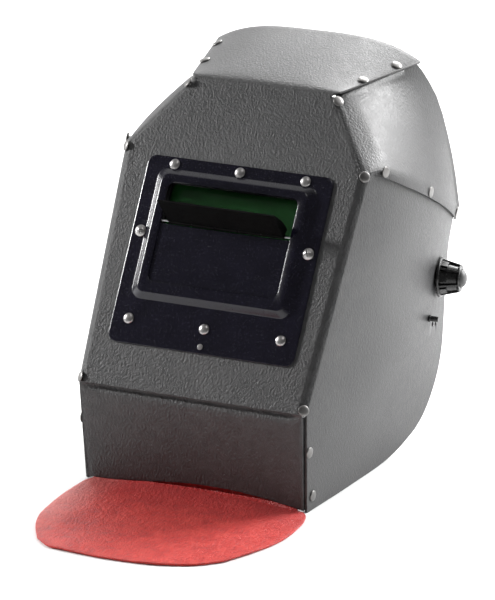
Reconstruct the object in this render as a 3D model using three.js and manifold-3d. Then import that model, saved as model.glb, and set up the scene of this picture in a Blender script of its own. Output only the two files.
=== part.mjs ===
// Welding helmet of folded fibre sheet, with a steel lens bezel, a flip shutter, a head harness on
// two tension knobs, and a leather bib at the chin. Millimetres, +Z up, the window faces -Y.
// The helmet stands on its chin corners and side edges. Left and right are the wearer's: left is +X.
// Sizes are given in a working frame: y = 0 on the crease between the front panel and the chin panel.
import * as THREE from "three";
import { mergeVertices } from "three/addons/utils/BufferGeometryUtils.js";
import Module from "manifold-3d";

const wasm = await Module();
wasm.setup();

// ---- driving dimensions ----
const SHEET = 2; // fibre thickness
const GAP = 0.35; // clearance between touching pieces
const LAP_OFFSET = SHEET + 0.5; // how far an outer lap stands off the sheet below it
const CREASE_Z = 88; // height of the front and chin crease
const LEAN = THREE.MathUtils.degToRad(29.4); // front panel, back from vertical
const CHIN_SETBACK = 10; // the chin panel's lower edge lies this far behind the crease
const CHIN_ARCH = 10; // rise of the chin's lower edge at its middle
const CHIN_HALF = { bottom: 100.5, top: 103.2 };
const FRONT_HALF = { crease: 101, shoulder: 108.5, brow: 64 }; // flat width inside the bevels
const SHOULDER_H = 207; // up the front panel from the crease
const BROW_H = 272;
const BROW_SET = -7; // the brow bends back out of the front plane by this much
const BEVEL = 5; // width of the bevel strip along the front panel's sides
const BEVEL_SET = -4.5;
const BROW = { y: 141.5, z: 324 }; // fold between the front and top panels
const TOP_REAR = { y: 245, edgeZ: 329.5, rise: 17, half: 96 };
const TOP_FRONT_HALF = 69;
const ARCH_POWER = 3.5; // the top panel is flat in the middle and falls at its margins
const SEAM = { y: 104, z: 270.2, slope: -0.469, rearY: 298 }; // lower edge of the upper side panels
const SIDE_REAR_Y = 290; // where the rear half-widths are given
const SIDE_REAR_HALF = { low: 101.5, high: 112 };
const SIDE_BULGE = { floor: 3, middle: 15.5, high: 13 };
const PIVOT = { y: 254.5, z: 139 }; // where the harness bolt crosses the side panel
const KNOB_YAW = THREE.MathUtils.degToRad(12); // the side panels turn inward at the pivot
const PEG = { radius: 2.2, inward: 15.6, outward: 8.8, collar: 3.2 };
const PEG_HOLES = [[-27.5, -29], [-14, -38.5], [-4, -41]]; // from the pivot; the peg sits in the first
const BEZEL = { half: 86.5, low: 37.8, high: 200.5, corner: 8, sheet: 1 };
const FRAME = {
  baseHalf: 72.5, baseLow: 78, baseHigh: 189, baseCorner: 7,
  topHalf: 67.5, topLow: 82.5, topHigh: 184.5, topCorner: 6, rise: 4.5,
}; // the raised frame round the window, at its foot and at its crest
const WINDOW = { half: 60.3, low: 92, high: 178, corner: 6 };
const SHUTTER = { h: 145, half: 54, length: 30.5, sheet: 1.5, tilt: THREE.MathUtils.degToRad(21), cheek: 8 };
const RIVET = { head: 4.8, dome: 2.1, shank: 2, tail: 3.4, sides: 8 };
const HARNESS_TILT = THREE.MathUtils.degToRad(-15); // forehead raised while the shell stands
const BAND = { half: 78, front: 92, leg: 62, height: 28, sheet: 1.6 };
const BIB = { thickness: 2.4, neck: 80 };
const ROUND = 20; // segments of a round piece
const FRAME_Y = 97.93; // from the crease to the middle of the whole part, front to back

// ---- materials ----
function material(color, roughness, metalness = 0) {
  return new THREE.MeshStandardMaterial({ color, roughness, metalness, side: THREE.DoubleSide });
}
const fibre = material(0x3c3c3c, 0.55);
const blackSteel = material(0x18181e, 0.35, 0.4);
const nickel = material(0xb8b4b0, 0.3, 0.9);
const steel = material(0x9a9a9a, 0.35, 0.9);
const clearGlass = material(0xcfe0dc, 0.05);
const greenGlass = material(0x22502a, 0.05);
const rubber = material(0x161616, 0.85);
const blackPlastic = material(0x141414, 0.4);
const greyPlastic = material(0x6e6e6e, 0.45);
const foam = material(0x2b2b30, 0.95);
const redLeather = material(0xc43a32, 0.6);

// ---- solids ----
const whole = new THREE.Group();
whole.position.y = -FRAME_Y;

function add(name, geometry, look, parent = whole) {
  const mesh = new THREE.Mesh(geometry, look);
  mesh.name = name;
  parent.add(mesh);
  return mesh;
}

// The geometry as a boolean solid, after an optional placement.
function solid(geometry, placement) {
  const bare = geometry.clone();
  bare.deleteAttribute("normal");
  bare.deleteAttribute("uv");
  if (placement) bare.applyMatrix4(placement);
  const merged = mergeVertices(bare, 1e-4);
  return new wasm.Manifold(
    new wasm.Mesh({
      numProp: 3,
      vertProperties: new Float32Array(merged.attributes.position.array),
      triVerts: new Uint32Array(merged.index.array),
    }),
  );
}

function geometryOf(manifold) {
  const mesh = manifold.getMesh();
  const geometry = new THREE.BufferGeometry();
  geometry.setAttribute("position", new THREE.BufferAttribute(mesh.vertProperties, 3));
  geometry.setIndex(new THREE.BufferAttribute(mesh.triVerts, 1));
  const faceted = geometry.toNonIndexed();
  faceted.computeVertexNormals();
  return faceted;
}

function cut(geometry, cutters) {
  let body = solid(geometry);
  for (const cutter of cutters) body = body.subtract(cutter);
  return geometryOf(body);
}

function join(geometries) {
  let body = solid(geometries[0]);
  for (const geometry of geometries.slice(1)) body = body.add(solid(geometry));
  return body;
}

// Placement that carries +Z onto the direction and the origin onto the point.
function along(point, direction) {
  const up = new THREE.Vector3(0, 0, 1);
  const turn = new THREE.Quaternion().setFromUnitVectors(up, direction.clone().normalize());
  return new THREE.Matrix4().compose(point, turn, new THREE.Vector3(1, 1, 1));
}

function rod(radius, length, segments = ROUND) {
  return new THREE.CylinderGeometry(radius, radius, length, segments).rotateX(Math.PI / 2);
}

function drill(point, direction, radius, depth = 14) {
  return solid(rod(radius, depth, 10), along(point, direction));
}

function lathe(points, segments = ROUND) {
  const profile = points.map(([radius, height]) => new THREE.Vector2(radius, height));
  return new THREE.LatheGeometry(profile, segments).rotateX(Math.PI / 2);
}

// The clear space behind a sheet that a rivet's tail needs.
function tailSpace({ point, normal }, from) {
  const centre = point.clone().addScaledVector(normal, -from - 5);
  return solid(rod(RIVET.tail + 1.9, 10, 10), along(centre, normal));
}

// A surface through rings of points joined in order. It can close around each ring, and along from the
// last ring back to the first.
function skin(rings, closedAround, closedAlong) {
  const positions = [];
  for (const ring of rings) for (const point of ring) positions.push(point.x, point.y, point.z);
  const count = rings[0].length;
  const index = [];
  const rows = closedAlong ? rings.length : rings.length - 1;
  const columns = closedAround ? count : count - 1;
  for (let row = 0; row < rows; row++) {
    for (let column = 0; column < columns; column++) {
      const a = row * count + column;
      const b = row * count + ((column + 1) % count);
      const c = ((row + 1) % rings.length) * count + ((column + 1) % count);
      const d = ((row + 1) % rings.length) * count + column;
      index.push(a, b, c, a, c, d);
    }
  }
  const geometry = new THREE.BufferGeometry();
  geometry.setAttribute("position", new THREE.BufferAttribute(new Float32Array(positions), 3));
  geometry.setIndex(index);
  return geometry;
}

// A sheet of even thickness behind a grid of outer points. Rows run upward, columns to the +X side
// of a viewer who faces the outer surface.
function sheet(grid, thickness = SHEET) {
  const rows = grid.length;
  const columns = grid[0].length;
  const inner = grid.map((row, r) =>
    row.map((point, c) => {
      const across = grid[r][Math.min(c + 1, columns - 1)].clone().sub(grid[r][Math.max(c - 1, 0)]);
      const upward = grid[Math.min(r + 1, rows - 1)][c].clone().sub(grid[Math.max(r - 1, 0)][c]);
      return point.clone().addScaledVector(across.cross(upward).normalize(), -thickness);
    }),
  );
  const rings = grid.map((row, r) => [...row, ...inner[r].slice().reverse()]);
  const surface = skin(rings, true, false);
  const index = Array.from(surface.index.array);
  const around = 2 * columns;
  for (const [row, flip] of [[0, true], [rows - 1, false]]) {
    for (let c = 0; c < columns - 1; c++) {
      const a = row * around + c;
      const b = a + 1;
      const d = row * around + around - 1 - c;
      const e = d - 1;
      if (flip) index.push(a, e, b, a, d, e);
      else index.push(a, b, e, a, e, d);
    }
  }
  surface.setIndex(index);
  return surface;
}

// Four boundary curves, each a function of 0..1, blended into a grid of points.
function patch(bottom, top, front, rear, columns, rows) {
  const corners = [bottom(0), bottom(1), top(0), top(1)];
  const grid = [];
  for (let r = 0; r <= rows; r++) {
    const v = r / rows;
    const row = [];
    for (let c = 0; c <= columns; c++) {
      const u = c / columns;
      const point = new THREE.Vector3();
      point.addScaledVector(bottom(u), 1 - v).addScaledVector(top(u), v);
      point.addScaledVector(front(v), 1 - u).addScaledVector(rear(v), u);
      point.addScaledVector(corners[0], -(1 - u) * (1 - v)).addScaledVector(corners[1], -u * (1 - v));
      point.addScaledVector(corners[2], -(1 - u) * v).addScaledVector(corners[3], -u * v);
      row.push(point);
    }
    grid.push(row);
  }
  return grid;
}

function smooth(low, high, value) {
  const t = THREE.MathUtils.clamp((value - low) / (high - low), 0, 1);
  return t * t * (3 - 2 * t);
}

const mix = THREE.MathUtils.lerp;

// A rounded rectangle from (-half, low) to (half, high), anticlockwise, at height n.
function roundedLoop(half, low, high, corner, n, steps = 4) {
  const points = [];
  const centres = [[half - corner, low + corner], [half - corner, high - corner],
    [corner - half, high - corner], [corner - half, low + corner]];
  centres.forEach(([x, y], quarter) => {
    for (let step = 0; step <= steps; step++) {
      const angle = (quarter - 1 + step / steps) * (Math.PI / 2);
      points.push(new THREE.Vector3(x + corner * Math.cos(angle), y + corner * Math.sin(angle), n));
    }
  });
  return points;
}

// A frame or plate with a hole, built from nested loops listed outside to inside over the front, then back.
function ringSolid(loops) {
  return skin(loops, true, true);
}

function slab(half, low, high, corner, back, front) {
  const outline = roundedLoop(half, low, high, corner, 0).map((p) => new THREE.Vector2(p.x, p.y));
  const shape = new THREE.Shape(outline);
  return new THREE.ExtrudeGeometry(shape, { depth: front - back, bevelEnabled: false }).translate(0, 0, back);
}

// ---- side surface of the shell ----
function frontLineY(z) {
  if (z >= CREASE_Z) return (z - CREASE_Z) * Math.tan(LEAN) + 6.8;
  return mix(CHIN_SETBACK + 1, 3, z / CREASE_Z);
}

function frontHalf(z) {
  if (z >= CREASE_Z) return mix(106.4, 113.8, (z - CREASE_Z) / (SEAM.z - CREASE_Z));
  return mix(CHIN_HALF.bottom + 3, 106.4, z / CREASE_Z);
}

function sideX(y, z) {
  const start = frontLineY(z);
  const s = (y - start) / (SIDE_REAR_Y - start);
  const rear = mix(SIDE_REAR_HALF.low, SIDE_REAR_HALF.high, smooth(145, 220, z));
  const lift = mix(SIDE_BULGE.floor, SIDE_BULGE.middle, smooth(0, 110, z));
  const bulge = mix(lift, SIDE_BULGE.high, smooth(150, 200, z));
  return frontHalf(z) * (1 - s) + rear * s + 4 * bulge * s * (1 - s);
}

function sideNormal(y, z) {
  const dy = (sideX(y + 1, z) - sideX(y - 1, z)) / 2;
  const dz = (sideX(y, z + 1) - sideX(y, z - 1)) / 2;
  return new THREE.Vector3(1, -dy, -dz).normalize();
}

function onSide([y, z], outward = 0) {
  return new THREE.Vector3(sideX(y, z), y, z).addScaledVector(sideNormal(y, z), outward);
}

function seamZ(y) {
  return SEAM.z + SEAM.slope * (y - SEAM.y);
}

function curveThrough(points) {
  const curve = new THREE.SplineCurve(points.map(([y, z]) => new THREE.Vector2(y, z)));
  curve.arcLengthDivisions = 400;
  return (t) => {
    const p = curve.getPointAt(THREE.MathUtils.clamp(t, 0, 1));
    return [p.x, p.y];
  };
}

function lineThrough(points) {
  const lengths = points.slice(1).map((p, i) => Math.hypot(p[0] - points[i][0], p[1] - points[i][1]));
  const total = lengths.reduce((a, b) => a + b, 0);
  return (t) => {
    let rest = THREE.MathUtils.clamp(t, 0, 1) * total;
    let i = 0;
    while (i < lengths.length - 1 && rest > lengths[i]) {
      rest -= lengths[i];
      i++;
    }
    const f = rest / lengths[i];
    return [mix(points[i][0], points[i + 1][0], f), mix(points[i][1], points[i + 1][1], f)];
  };
}

// ---- lower side panels ----
const REAR_LOW = [219.6, 10.6];
const lowerFront = lineThrough([[frontLineY(0), 0], [frontLineY(82), 82], [frontLineY(267), 267]]);
const lowerTop = lineThrough([[frontLineY(267), 267], [128, seamZ(128) + 8], [293, seamZ(293) + 8]]);
const lowerBottom = curveThrough([[frontLineY(0), 0], [80, 0.2], [150, 0.5], [188, 4], REAR_LOW]);
const lowerRear = curveThrough([REAR_LOW, [240, 20], [258, 36], [270, 52], [278, 70], [282, 94], [284.5, 112],
  [291, 138], [296.5, 156], [298, 172], [293, seamZ(293) + 8]]);
const lowerPatch = patch(
  (u) => new THREE.Vector3(0, ...lowerBottom(u)),
  (u) => new THREE.Vector3(0, ...lowerTop(u)),
  (v) => new THREE.Vector3(0, ...lowerFront(v)),
  (v) => new THREE.Vector3(0, ...lowerRear(v)),
  8, 9,
).map((row) => row.map((p) => onSide([p.y, p.z])));

const pivotPoint = onSide([PIVOT.y, PIVOT.z]);
const knobAxis = new THREE.Vector3(Math.cos(KNOB_YAW), Math.sin(KNOB_YAW), 0);
const seamRivets = [123.5, 198.3, 288].map((y) => {
  const z = seamZ(y) + 5.3;
  return { point: onSide([y, z], LAP_OFFSET), normal: sideNormal(y, z) };
});
const chinRivets = [[10.5, 53], [19.5, 12.5]].map(([y, z]) => (
  { point: onSide([y, z]), normal: sideNormal(y, z) }));
const pegHoles = PEG_HOLES.map(([dy, dz]) => {
  const y = PIVOT.y + dy;
  const z = PIVOT.z + dz;
  return { point: onSide([y, z]), normal: sideNormal(y, z) };
});
const HOLE = RIVET.shank + GAP;

const lowerSide = cut(sheet(lowerPatch), [
  drill(pivotPoint, knobAxis, 4.2),
  ...pegHoles.map(({ point, normal }) => drill(point, normal, PEG.radius + GAP)),
  ...seamRivets.map(({ point, normal }) => drill(point, normal, HOLE)),
  ...chinRivets.map(({ point, normal }) => drill(point, normal, HOLE)),
]);

// ---- top panel ----
function topHalf(s) {
  return mix(TOP_FRONT_HALF, TOP_REAR.half, s);
}

function topZ(x, s) {
  const edge = mix(BROW.z, TOP_REAR.edgeZ, s);
  return edge + TOP_REAR.rise * s ** 0.8 * (1 - Math.abs(x / topHalf(s)) ** ARCH_POWER);
}

function topPoint(u, s, drop = 0) {
  const x = u * topHalf(s);
  return new THREE.Vector3(x, mix(BROW.y + 1.2, TOP_REAR.y, s), topZ(x, s) + 0.5 - drop);
}

const TOP_COLUMNS = [-1, -0.93, -0.8, -0.6, -0.3, 0, 0.3, 0.6, 0.8, 0.93, 1];
const TOP_ROWS = [0, 0.15, 0.4, 0.7, 1];
const topRivets = [[0.33, 0.955], [0.76, 0.945]].map(([s, u]) => {
  const point = topPoint(u, s);
  const across = topPoint(u + 0.02, s).sub(topPoint(u - 0.02, s));
  const back = topPoint(u, s + 0.02).sub(topPoint(u, s - 0.02));
  return { point, normal: across.cross(back).normalize() };
});
function mirrored({ point, normal }) {
  return { point: point.clone().setX(-point.x), normal: normal.clone().setX(-normal.x) };
}
const topSheet = sheet(TOP_ROWS.map((s) => TOP_COLUMNS.map((u) => topPoint(u, s))));
add("top_panel", cut(topSheet, [...topRivets, ...topRivets.map(mirrored)]
  .map(({ point, normal }) => drill(point, normal, HOLE))), fibre);

// ---- upper side panels ----
const UPPER_FRONT_Y = 113.5;
const UPPER_REAR_Y = SEAM.rearY + 3;
const UPPER_BULGE = 2; // the rear edge bows outward by this much
const UPPER_BEND = { front: 3.5, rear: 12 }; // height of the bend above the seam
const UPPER_SPAN = [0.045, 0.98]; // share of the top panel's length that the flange runs along
const TOP_FLANGE = 12; // width of the flange under the top panel
const UNDER_TOP = LAP_OFFSET + 0.9;
const upperBend = (u) => {
  const y = mix(UPPER_FRONT_Y, UPPER_REAR_Y, u);
  return onSide([y, seamZ(y) + mix(UPPER_BEND.front, UPPER_BEND.rear, smooth(0, 0.12, u))], LAP_OFFSET);
};
const upperTop = (u) => topPoint(0.98, mix(...UPPER_SPAN, u), UNDER_TOP);
const upperRearProfile = curveThrough([[UPPER_REAR_Y, seamZ(UPPER_REAR_Y) + UPPER_BEND.rear], [297, 215],
  [288.5, 248], [272.6, 291], [243, 327]]);
const upperRear = (v) => {
  const low = upperBend(1);
  const high = upperTop(1);
  if (v === 0) return low;
  if (v === 1) return high;
  const [y, z] = upperRearProfile(v);
  const lift = (z - low.z) / (high.z - low.z);
  return new THREE.Vector3(mix(low.x, high.x, lift) + 4 * UPPER_BULGE * lift * (1 - lift), y, z);
};
const upperFront = (v) => upperBend(0).lerp(upperTop(0), v);
const UPPER_COLUMNS = 8;
const UPPER_ROWS = 5;
const upperGrid = patch(upperBend, upperTop, upperFront, upperRear, UPPER_COLUMNS, UPPER_ROWS);
const lapRow = upperGrid[0].map((p, c) => {
  const y = c === 0 ? p.y + 1 : p.y - (c === UPPER_COLUMNS ? 3 : 0);
  return onSide([y, seamZ(y)], LAP_OFFSET);
});
const flangeRow = upperGrid[UPPER_ROWS].map((p, c) => {
  const s = mix(...UPPER_SPAN, c / UPPER_COLUMNS);
  return topPoint(1 - TOP_FLANGE / topHalf(s), s, UNDER_TOP);
});
const upperSide = cut(sheet([lapRow, ...upperGrid, flangeRow]), [
  ...seamRivets.map(({ point, normal }) => drill(point, normal, HOLE)),
  ...topRivets.map(({ point, normal }) => drill(point, normal, HOLE)),
]);

for (const [side, sign] of [["left", 1], ["right", -1]]) {
  add("lower_side_" + side, lowerSide, fibre).scale.x = sign;
  add("upper_side_" + side, upperSide, fibre).scale.x = sign;
}

// ---- chin panel: a flat face with two flanges folded back inside the lower side panels ----
const chinHalf = (z) => mix(CHIN_HALF.bottom, CHIN_HALF.top, z / CREASE_Z);
const chinY = (z) => CHIN_SETBACK * (1 - z / CREASE_Z);
const CHIN_LEVELS = [0, 0.1, 0.4, 0.7, 0.975];
const CHIN_ACROSS = [-1, -0.75, -0.5, -0.25, 0, 0.25, 0.5, 0.75, 1];
const CHIN_FLANGE = 24;
const chinGrid = CHIN_LEVELS.map((level) => {
  const z = level * CREASE_Z;
  const flange = (sign) => {
    const y = chinY(z) + CHIN_FLANGE;
    const low = Math.max(z, 0.6);
    const inset = LAP_OFFSET + mix(0.8, 2, level ** 4);
    return new THREE.Vector3(sign * (sideX(y, z) - inset), y, low);
  };
  const face = CHIN_ACROSS.map((u) => {
    const arch = CHIN_ARCH * (1 - u * u) * (1 - level) ** 2;
    return new THREE.Vector3(u * chinHalf(z), chinY(z + arch), z + arch);
  });
  return [flange(-1), ...face, flange(1)];
});
add("chin_panel", cut(sheet(chinGrid), [...chinRivets, ...chinRivets.map(mirrored)]
  .map(({ point, normal }) => drill(point, normal, HOLE))), fibre);

// ---- front panel, in a frame whose y runs up the panel and z points out of it ----
const front = new THREE.Group();
front.position.z = CREASE_Z;
front.rotation.x = Math.PI / 2 - LEAN;
whole.add(front);

function frontHalfAt(h) {
  if (h <= SHOULDER_H) return mix(FRONT_HALF.crease, FRONT_HALF.shoulder, h / SHOULDER_H);
  return mix(FRONT_HALF.shoulder, FRONT_HALF.brow, (h - SHOULDER_H) / (BROW_H - SHOULDER_H));
}
const FRONT_LEVELS = [1.4, 70, 140, SHOULDER_H, SHOULDER_H + 33, BROW_H];
const frontGrid = FRONT_LEVELS.map((h) => {
  const back = h <= SHOULDER_H ? 0 : BROW_SET * ((h - SHOULDER_H) / (BROW_H - SHOULDER_H)) ** 1.4;
  const flat = frontHalfAt(h);
  const slant = h > SHOULDER_H ? 0.5 : 0;
  const outer = flat + BEVEL * (slant ? 0.85 : 1);
  const row = [[-outer, BEVEL_SET], [-flat, 0], [0, 0], [flat, 0], [outer, BEVEL_SET]];
  return row.map(([x, n]) =>
    new THREE.Vector3(x, h + (n ? slant * BEVEL * (h < BROW_H ? 1 : 0) : 0), back + n));
});
const cornerRivets = [
  [FRONT_HALF.crease + 2.2, 4.4, 0], [FRONT_HALF.shoulder + 2.1, SHOULDER_H - 1.4, 0], [71.2, 266.8, 0.55]]
  .map(([x, h, rise], corner) => ({
    point: new THREE.Vector3(x, h, (corner === 2 ? BROW_SET * 0.84 : 0) + BEVEL_SET / 2),
    normal: new THREE.Vector3(-BEVEL_SET, rise * BEVEL, BEVEL).normalize(),
  }));
const bezelRivets = [[0, 194.3], [61, 194.3], [0, 58.8], [70.7, 58.8]]
  .flatMap(([x, h]) => (x ? [[-x, h], [x, h]] : [[x, h]]));
const CLAMP = { x: 78, h: 134 };
const PANEL_HOLE = { half: 61, low: 91.4, high: 178.6, corner: 3 };
const forward = new THREE.Vector3(0, 0, 1);
add("front_panel", cut(sheet(frontGrid), [
  solid(slab(PANEL_HOLE.half, PANEL_HOLE.low, PANEL_HOLE.high, 5, -6, 6)),
  ...[...cornerRivets, ...cornerRivets.map(mirrored)].map(({ point, normal }) => drill(point, normal, HOLE)),
  ...[...cornerRivets, ...cornerRivets.map(mirrored)].map((place) => tailSpace(place, SHEET)),
  ...bezelRivets.map(([x, h]) => drill(new THREE.Vector3(x, h, 0), forward, HOLE)),
  ...[-1, 1].map((sign) => drill(new THREE.Vector3(sign * CLAMP.x, CLAMP.h, 0), forward, HOLE)),
]), fibre, front);

// ---- bezel: pressed steel, a flat flange and a raised frame round the window ----
const flangeLoop = (inset, n) =>
  roundedLoop(BEZEL.half - inset, BEZEL.low + inset, BEZEL.high - inset, BEZEL.corner - inset, n);
const baseLoop = (inset, n) =>
  roundedLoop(FRAME.baseHalf - inset, FRAME.baseLow + inset, FRAME.baseHigh - inset,
    FRAME.baseCorner, n);
const crestLoop = (inset, n) =>
  roundedLoop(FRAME.topHalf - inset, FRAME.topLow + inset, FRAME.topHigh - inset,
    FRAME.topCorner, n);
const windowLoop = (n) => roundedLoop(WINDOW.half, WINDOW.low, WINDOW.high, WINDOW.corner, n);
const BEZEL_BACK = GAP;
const BEZEL_FRONT = GAP + BEZEL.sheet;
const bezelShape = ringSolid([
  flangeLoop(0, BEZEL_BACK),
  flangeLoop(0, BEZEL_FRONT),
  baseLoop(0, BEZEL_FRONT),
  crestLoop(0, BEZEL_FRONT + FRAME.rise),
  windowLoop(BEZEL_FRONT + FRAME.rise),
  windowLoop(BEZEL_BACK + FRAME.rise),
  crestLoop(1.1, BEZEL_BACK + FRAME.rise),
  baseLoop(1.1, BEZEL_BACK),
]);
add("lens_bezel", cut(bezelShape, [
  ...bezelRivets.map(([x, h]) => drill(new THREE.Vector3(x, h, 0), forward, HOLE)),
  ...[-1, 1].map((sign) => drill(new THREE.Vector3(sign * CLAMP.x, CLAMP.h, 0), forward, HOLE)),
]), blackSteel, front);

// ---- window: gasket, blanking plate, cover glass, filter glass, retainer and its spring ----
const GLASS = { half: 66, low: 87, high: 183, corner: 3 };
const LIP_BACK = BEZEL_BACK + FRAME.rise;
const BLANK = { half: 63.8, low: 87, high: SHUTTER.h - 2.6, corner: 4, sheet: 1.2 };
const COVER = { back: -6.6, front: -4.6 };
const FILTER = { back: -9.95, front: -6.95 };
const glassLoop = (n) => roundedLoop(GLASS.half, GLASS.low, GLASS.high, GLASS.corner, n);
const panelLoop = (n) => roundedLoop(PANEL_HOLE.half, PANEL_HOLE.low, PANEL_HOLE.high, PANEL_HOLE.corner, n);
add("lens_gasket", ringSolid([
  glassLoop(COVER.front + GAP),
  glassLoop(-SHEET - GAP),
  panelLoop(-SHEET - GAP),
  panelLoop(COVER.front + GAP),
]), rubber, front);
const BLANK_FRONT = LIP_BACK - GAP;
const blankPlate = slab(BLANK.half, BLANK.low, BLANK.high, BLANK.corner, BLANK_FRONT - BLANK.sheet, BLANK_FRONT);
add("lens_blank_plate", blankPlate, blackSteel, front);
const glassPane = (pane) => slab(GLASS.half, GLASS.low, GLASS.high, GLASS.corner, pane.back, pane.front);
add("cover_glass", glassPane(COVER), clearGlass, front);
add("filter_glass", glassPane(FILTER), greenGlass, front);
const RETAINER = {
  half: 84, low: 80, high: 187, corner: 6,
  openHalf: 58, openLow: 95, openHigh: 175, openCorner: 4, back: -11.8, front: -10.3,
};
const retainerLoop = (n) => roundedLoop(RETAINER.half, RETAINER.low, RETAINER.high, RETAINER.corner, n);
const retainerOpening = (n) =>
  roundedLoop(RETAINER.openHalf, RETAINER.openLow, RETAINER.openHigh, RETAINER.openCorner, n);
add("lens_retainer", cut(ringSolid([
  retainerLoop(RETAINER.back),
  retainerLoop(RETAINER.front),
  retainerOpening(RETAINER.front),
  retainerOpening(RETAINER.back),
]), [-1, 1].map((sign) => drill(new THREE.Vector3(sign * CLAMP.x, CLAMP.h, RETAINER.back), forward, HOLE))),
blackSteel, front);

// A flat bow fixed along the lower edge of the retainer, which presses the glasses forward.
const bowShape = new THREE.Shape();
const BOW = { half: 50, height: 4, sheet: 0.8, width: 9, h: 88 };
const bowPoint = (t, lift) =>
  new THREE.Vector2(mix(-BOW.half, BOW.half, t), -BOW.height * Math.sin(Math.PI * t) + lift);
bowShape.setFromPoints([
  ...Array.from({ length: 13 }, (_, i) => bowPoint(i / 12, 0)),
  ...Array.from({ length: 13 }, (_, i) => bowPoint(1 - i / 12, -BOW.sheet)),
].reverse());
const bow = new THREE.ExtrudeGeometry(bowShape, { depth: BOW.width, bevelEnabled: false, curveSegments: 1 })
  .rotateX(Math.PI / 2).translate(0, BOW.h + BOW.width / 2, RETAINER.back - GAP);
add("lens_spring", bow, steel, front);

// ---- shutter: a plate with low cheeks, hinged on a pin at the upper edge of the blanking plate ----
const PIN = { radius: 0.8, n: 3.7, reach: 63.5, wall: 0.8 };
const shutter = new THREE.Group();
shutter.position.set(0, SHUTTER.h, PIN.n);
shutter.rotation.x = -SHUTTER.tilt;
front.add(shutter);
// In the shutter's own frame z runs out from the pin and y is up from the plate.
const shutterPlate = slab(SHUTTER.half, -SHUTTER.sheet / 2, SHUTTER.sheet / 2, 0.1, 0, SHUTTER.length);
const cheekShape = new THREE.Shape([
  new THREE.Vector2(0, 0),
  new THREE.Vector2(SHUTTER.length - 3, 0),
  new THREE.Vector2(SHUTTER.length * 0.62, SHUTTER.cheek * 0.62),
  new THREE.Vector2(SHUTTER.length * 0.25, SHUTTER.cheek),
  new THREE.Vector2(0, SHUTTER.cheek),
]);
const cheek = (x) => new THREE.ExtrudeGeometry(cheekShape, { depth: SHUTTER.sheet, bevelEnabled: false })
  .rotateY(-Math.PI / 2).translate(x, 0, 0);
const knuckle = rod(PIN.radius + GAP + PIN.wall, 2 * SHUTTER.half, 12).rotateY(Math.PI / 2);
const shutterBody = join([shutterPlate, cheek(SHUTTER.half), cheek(SHUTTER.sheet - SHUTTER.half), knuckle])
  .subtract(solid(rod(PIN.radius + GAP, 2 * SHUTTER.half + 10, 12).rotateY(Math.PI / 2)));
add("visor_flap", geometryOf(shutterBody), blackPlastic, shutter);
add("flap_hinge_pin", rod(PIN.radius, 2 * PIN.reach, 10).rotateY(Math.PI / 2).translate(0, SHUTTER.h, PIN.n),
  steel, front);

// ---- rivets and clamp screws ----
function rivetGeometry(depth, head = RIVET.head, dome = RIVET.dome) {
  const arc = [0, 0.55, 1].map((t) => [
    head * Math.sin((t * Math.PI) / 2), dome * Math.cos((t * Math.PI) / 2) + GAP]);
  const tail = -depth - GAP;
  return lathe([[0, tail - 1], [RIVET.tail, tail - 1], [RIVET.tail, tail], [RIVET.shank, tail],
    [RIVET.shank, GAP],
    ...arc.reverse()], RIVET.sides);
}
function rivet(name, { point, normal }, depth, parent, head = RIVET.head, dome = RIVET.dome) {
  const mesh = add(name, rivetGeometry(depth, head, dome), nickel, parent);
  mesh.applyMatrix4(along(point, normal));
}
function rivetPairs(prefix, places, depth, parent, lift = 0) {
  let number = 1;
  for (const place of places) {
    const raised = { point: place.point.clone().addScaledVector(place.normal, lift), normal: place.normal };
    rivet(prefix + number++, raised, depth + lift, parent);
    rivet(prefix + number++, mirrored(raised), depth + lift, parent);
  }
}
rivetPairs("corner_rivet_", cornerRivets, SHEET + 0.7, front, 1);
rivetPairs("top_rivet_", topRivets, SHEET + LAP_OFFSET + 1.4, whole, 0.4);
rivetPairs("seam_rivet_", seamRivets, SHEET + LAP_OFFSET + 1.5, whole, 0.3);
rivetPairs("chin_rivet_", chinRivets, SHEET + LAP_OFFSET + 0.8, whole, 0.3);
bezelRivets.forEach(([x, h], i) => {
  rivet("bezel_rivet_" + (i + 1), { point: new THREE.Vector3(x, h, BEZEL_FRONT), normal: forward },
    BEZEL_FRONT + SHEET, front);
});
for (const [side, sign] of [["left", 1], ["right", -1]]) {
  const seat = new THREE.Vector3(sign * CLAMP.x, CLAMP.h, BEZEL_FRONT);
  rivet("clamp_screw_" + side, { point: seat, normal: forward },
    BEZEL_FRONT - RETAINER.back, front, 5.2, 3.2);
}

// ---- knobs, bolts and stop pegs on the side panels ----
const KNOB = {
  flange: 17.5, base: 15.5, tip: 11.5, length: 19, bore: 3.4, flutes: 6, seat: 8, seatDepth: 3,
  stand: 1.4, // clearance between the flange and the shell
};
const BOLT = { radius: 3, head: 6.5, headHeight: 2.5, out: 14, inward: 15.9 };
const knobCutters = Array.from({ length: KNOB.flutes }, (_, i) => {
  const angle = ((i + 0.5) / KNOB.flutes) * Math.PI * 2;
  const centre = new THREE.Vector3(Math.cos(angle) * 16.5, Math.sin(angle) * 16.5, 16);
  const flute = new THREE.CylinderGeometry(4.2, 3.6, 24, 8).rotateX(Math.PI / 2);
  return solid(flute, new THREE.Matrix4().setPosition(centre));
});
const knobBody = cut(lathe([[KNOB.bore, 0], [KNOB.flange, 0], [KNOB.flange, 2.2], [KNOB.base, 4.4],
  [KNOB.tip, KNOB.length - 1.2], [KNOB.tip - 1.2, KNOB.length], [KNOB.seat, KNOB.length],
  [KNOB.seat, KNOB.length - KNOB.seatDepth], [KNOB.bore, KNOB.length - KNOB.seatDepth],
  [KNOB.bore, 0]], 24), knobCutters);
const capBody = lathe([[0, 0], [7.5, 0], [7.5, 3], [6.4, 5], [3.8, 6.6], [0, 7.2]]);
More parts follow.
